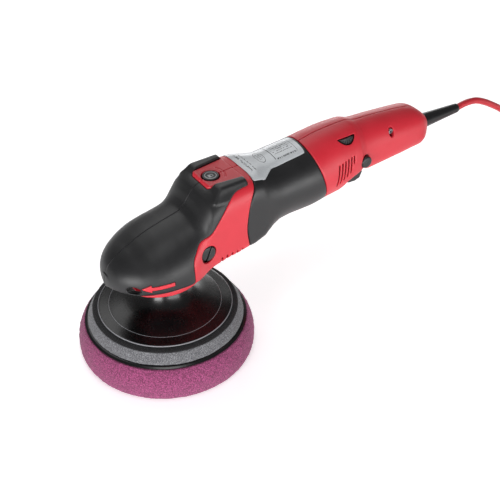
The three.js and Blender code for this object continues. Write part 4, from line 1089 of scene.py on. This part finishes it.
def rippled(points, scale, height, seed):
    """Points pushed in and out a little, by a smooth pattern that repeats nowhere on the piece."""
    draw = np.random.default_rng(seed)
    push = np.zeros(len(points))
    for _ in range(10):
        wave = draw.normal(size=3) / scale
        push += np.sin(points @ wave + draw.uniform(0, 2 * np.pi))
    outward = points * (1, 1, 0)
    outward /= np.maximum(np.hypot(*outward.T[:2]), 1e-6)[:, None]
    return points + outward * (push * height / 3)[:, None]


RIPPLE_FROM = 55  # radius past which a layer's surface ripples


def make_pad():
    """The layers of the pad, each a turned cushion with a crowned edge."""
    loop = [(AXIS, 50.3), (74, 50.3), (74.7, 50.6), (74.7, 51), (74, 51.3), (AXIS, 51.3)]
    grey_low, grey_top = arc((79.2, 40), 1, -90, 20, 5), arc((74, 49), 1, 20, 90, 5)
    grey = [(AXIS, 39), *grey_low, (79.3, 42.4), (77.6, 45.4), (75.9, 48), *grey_top, (AXIS, 50)]
    inter = [(AXIS, 36.3), *arc((82.6, 37.2), 0.9, -90, 10, 5), (82.2, 38.1), (80.9, 38.7), (AXIS, 38.7)]
    side = bent([(84.2, 0.02), (88.4, 1.5), (90.6, 6), (91.3, 13), (90.5, 22), (87.8, 30), (85.4, 34.4)], 6)
    purple = [(AXIS, 0.02), *side, *arc((83.6, 34.6), 1.4, 20, 90, 5), (AXIS, 36)]
    layers = [
        ("pad_loop_backing", "pad_loop_layer", loop, "hook_black", 0.05, 4),
        ("pad_grey_cushion", "pad_grey_foam", grey, "foam_grey", 0.12, 1.4),
        ("pad_bonded_layer", "pad_interlayer", inter, "foam_black", 0.04, 6),
        ("pad_cutting_cushion", "pad_cutting_foam", purple, "foam_purple", 0.2, 1.3),
    ]
    for seed, (name, node, profile, slot, height, scale) in enumerate(layers):
        points, quads = revolve(split_long(profile, 1.6), 300)
        rim = np.hypot(points[:, 0], points[:, 1]) > RIPPLE_FROM
        points = np.where(rim[:, None], rippled(points, scale, height, seed), points)
        piece = place_piece(name, points, quads, "spindle_and_pad", [node], slot, crisp=60)


# ---------------------------------------------------------------- cord, its boot and its plug
CORD = 7.5
ROUTE = [
    (388.2, 0, 156), (399, 0, 157.6), (408, 0, 157.4), (418, 0, 155.7), (430, 0, 150.6),
    (443, 0, 143.3), (461.5, 0, 131.3), (474, 0, 120.5), (485, -0.5, 106), (493, -1, 89),
    (499, -2, 71), (504, -3.5, 53), (510.5, -5.5, 36), (519.5, -8, 21.5), (530, -10.6, 11.6),
    (538, -12.4, 7), (545, -14, 5), (556, -15.5, 3.75),
]
COIL = {"x": 565, "y": -75, "inner": 36.0, "outer": 59.1, "layers": 3}
LAYER_TURN = 3 * 360  # degrees that each layer goes round, its climb to the next one included
CLIMB_TURN = 36
TAIL_TURN = 90  # past the last layer, to the plug
RISE_TURN = 150  # the last stretch of the coil, over which the cord starts to rise to the plug
PLUG_REAR = (601, -80.4, 34)


def eased(share):
    """0 to 1 with a gentle start and end."""
    return (1 - math.cos(math.pi * min(max(share, 0), 1))) / 2


def coil_points():
    """The stored coil, clockwise from above: each layer spirals in or out, then climbs onto the next."""
    made = []
    step = 5
    for layer in range(COIL["layers"]):
        start, end = (COIL["outer"], COIL["inner"]) if layer % 2 == 0 else (COIL["inner"], COIL["outer"])
        last = layer == COIL["layers"] - 1
        level = CORD * (layer + 0.5)
        for turned in range(0, LAYER_TURN + (TAIL_TURN if last else 0), step):
            radius = start + (end - start) * min(turned / (LAYER_TURN - CLIMB_TURN), 1)
            if last:
                share = (turned - LAYER_TURN + RISE_TURN) / (RISE_TURN + TAIL_TURN)
                height = level + (PLUG_REAR[2] - level) * eased(share)
            else:
                height = level + CORD * eased((turned - LAYER_TURN + CLIMB_TURN) / CLIMB_TURN)
            angle = math.radians(90 - turned)
            across, along = radius * math.cos(angle), radius * math.sin(angle)
            made.append((COIL["x"] + across, COIL["y"] + along, height))
    return made


def make_cord():
    """The whole cord as one line: out of the boot, down to the floor and round the coil to its plug."""
    coil = coil_points()
    beside_plug = (COIL["x"] + COIL["inner"], COIL["y"], PLUG_REAR[2])
    line = np.array([*bent([*ROUTE, coil[0]], 5), *coil[1:], beside_plug, PLUG_REAR])
    curve = bpy.data.curves.new("supply_cord", "CURVE")
    curve.dimensions = "3D"
    curve.bevel_depth = CORD / 2 * MM
    curve.bevel_resolution = 5
    curve.use_fill_caps = True
    spline = curve.splines.new("POLY")
    spline.points.add(len(line) - 1)
    spline.points.foreach_set("co", np.column_stack([line * MM, np.ones(len(line))]).ravel())
    spline.use_smooth = True
    curve.materials.append(FINISH["cord_red"])
    cord = bpy.data.objects.new("supply_cord", curve)
    scene.collection.objects.link(cord)
    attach(cord, "housing")
    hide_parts("cord_tube", "cord_coil", "cord_tail")
    length = float(np.linalg.norm(np.diff(line, axis=0), axis=1).sum()) * MM
    print("cord length", round(length, 4))
    return cord, length, line


def make_boot():
    """The strain relief: a tapered sleeve with a rolled lip and a flange inside the handle."""
    flange = [(3.9, 320.6), (8, 320.6), (8, 323.6), (6.5, 323.6), (6.5, 331.9), (8.6, 331.9)]
    taper = [(8.3, 336), (6.9, 358), (5.4, 383), (5.3, 385.4), (4.9, 387.4), (3.9, 387.4)]
    side = flange + taper
    points, quads = revolve(rounded(side, 0.5), 96)
    points = np.stack([points[:, 2], points[:, 1], -points[:, 0] + BOOT_Z], axis=1)
    if signed_volume(points, quads) < 0:
        quads = quads[:, ::-1]
    names = ("housing", ["strain_relief"], "rubber_black")
    place_piece("strain_relief_boot", points, quads, *names, crisp=50)


def make_plug():
    """A moulded mains plug: an oval grip that widens to a flat face, with ribs pressed into its sides."""
    stations = bent([(5.4, 0), (6.4, -6), (10, -14), (15.6, -24), (16.8, -36), (16.4, -43), (13.6, -46)], 5)
    steps = 64
    angle = np.linspace(0, 2 * np.pi, steps, endpoint=False)
    flatness = 0.66  # the plug's height as a share of its width
    rows = []
    for radius, y in [(AXIS, 0), *stations, (AXIS, -46)]:
        pressed = (math.sin(y * 1.9) > 0.2) * (-34 < y < -16)
        wide = radius * (1 - 0.05 * pressed)
        level = np.full(steps, y)
        rows.append(np.stack([wide * np.cos(angle), level, flatness * wide * np.sin(angle)], axis=1))
    points = np.concatenate(rows) + PLUG_REAR
    around = np.arange(steps)
    ahead = (around + 1) % steps
    strips = []
    for k in range(len(rows) - 1):
        low, high = k * steps, (k + 1) * steps
        strips.append(np.stack([low + around, low + ahead, high + ahead, high + around], axis=1))
    quads = np.concatenate(strips)
    if signed_volume(points, quads) < 0:
        quads = quads[:, ::-1]
    return place_piece("supply_plug", points, quads, "housing", ["plug_body"], "rubber_black", crisp=50)


# ---------------------------------------------------------------- what stays as its CAD node
def finish_inner_nodes():
    """Gives every CAD node the finish of its slot."""
    for part in frame["record"]["subparts"]:
        mesh = frame["nodes"][part["node"]].data
        mesh.materials.clear()
        mesh.materials.append(FINISH[part["material_slot"]])


def make_stage():
    """A pale floor and a plain sky."""
    size, level = 6.0, -0.0006  # just under the pad's flat face, so that the two don't share a plane
    mesh = bpy.data.meshes.new("floor")
    corners = [(x * size, y * size, level) for x, y in ((-1, -1), (1, -1), (1, 1), (-1, 1))]
    mesh.from_pydata(corners, [], [(0, 1, 2, 3)])
    material, tree, shader, place = blank("white_paper_matt")
    fibre = add(tree, "ShaderNodeTexNoise", {"Vector": place, "Scale": 20.0, "Detail": 3.0})
    shades = {"Factor": fibre.outputs["Fac"], 6: linear("#F4F4F5"), 7: linear("#FBFBFC")}
    tone = add(tree, "ShaderNodeMix", shades, data_type="RGBA")
    tree.links.new(tone.outputs[2], shader.inputs["Base Color"])
    shader.inputs["Roughness"].default_value = 0.9
    shader.inputs["Emission Color"].default_value = (1, 1, 1, 1)
    shader.inputs["Emission Strength"].default_value = 0.5
    mesh.materials.append(material)
    floor = bpy.data.objects.new("floor", mesh)
    scene.collection.objects.link(floor)
    world = bpy.data.worlds.new("studio")
    world.use_nodes = True
    world.node_tree.nodes["Background"].inputs["Color"].default_value = (1, 1, 1, 1)
    world.node_tree.nodes["Background"].inputs["Strength"].default_value = 0.2
    scene.world = world


def soft_box(name, place, aim, width, height, power):
    """A rectangular studio light."""
    data = bpy.data.lights.new(name, "AREA")
    data.shape = "RECTANGLE"
    data.size, data.size_y, data.energy = width, height, power
    lamp = bpy.data.objects.new(name, data)
    lamp.location = place
    lamp.rotation_euler = (Vector(aim) - Vector(place)).to_track_quat("-Z", "Y").to_euler()
    scene.collection.objects.link(lamp)


def make_lights():
    centre = (0.08, 0, 0.13)
    soft_box("top_rear_box", (0.35, 0.75, 1.15), centre, 1.3, 0.8, 5.5)
    soft_box("front_left_box", (-1.0, -0.6, 0.2), (0, 0, 0.1), 0.7, 0.3, 10)
    soft_box("left_box", (0.3, -1.35, 0.16), centre, 1.5, 0.4, 12.5)
    soft_box("overhead_strip", (-0.15, -0.25, 1.5), (-0.02, 0, 0.1), 0.5, 0.5, 3)
    soft_box("rear_low_box", (1.0, 1.2, 0.35), centre, 0.9, 0.35, 4)


def main():
    make_stage()
    make_lights()
    cord, length, line = make_cord()
    make_boot()
    plug = make_plug()
    for side_name in SIDES:
        make_hood(side_name)
        make_grip_cover(side_name)
        make_side_plug(side_name)
        make_handle(side_name)
    make_arrow()
    make_sleeve()
    make_label()
    make_trigger()
    make_lock_on()
    make_lock_button()
    make_dial()
    make_plate()
    make_pad()
    make_pile()
    finish_inner_nodes()


main()
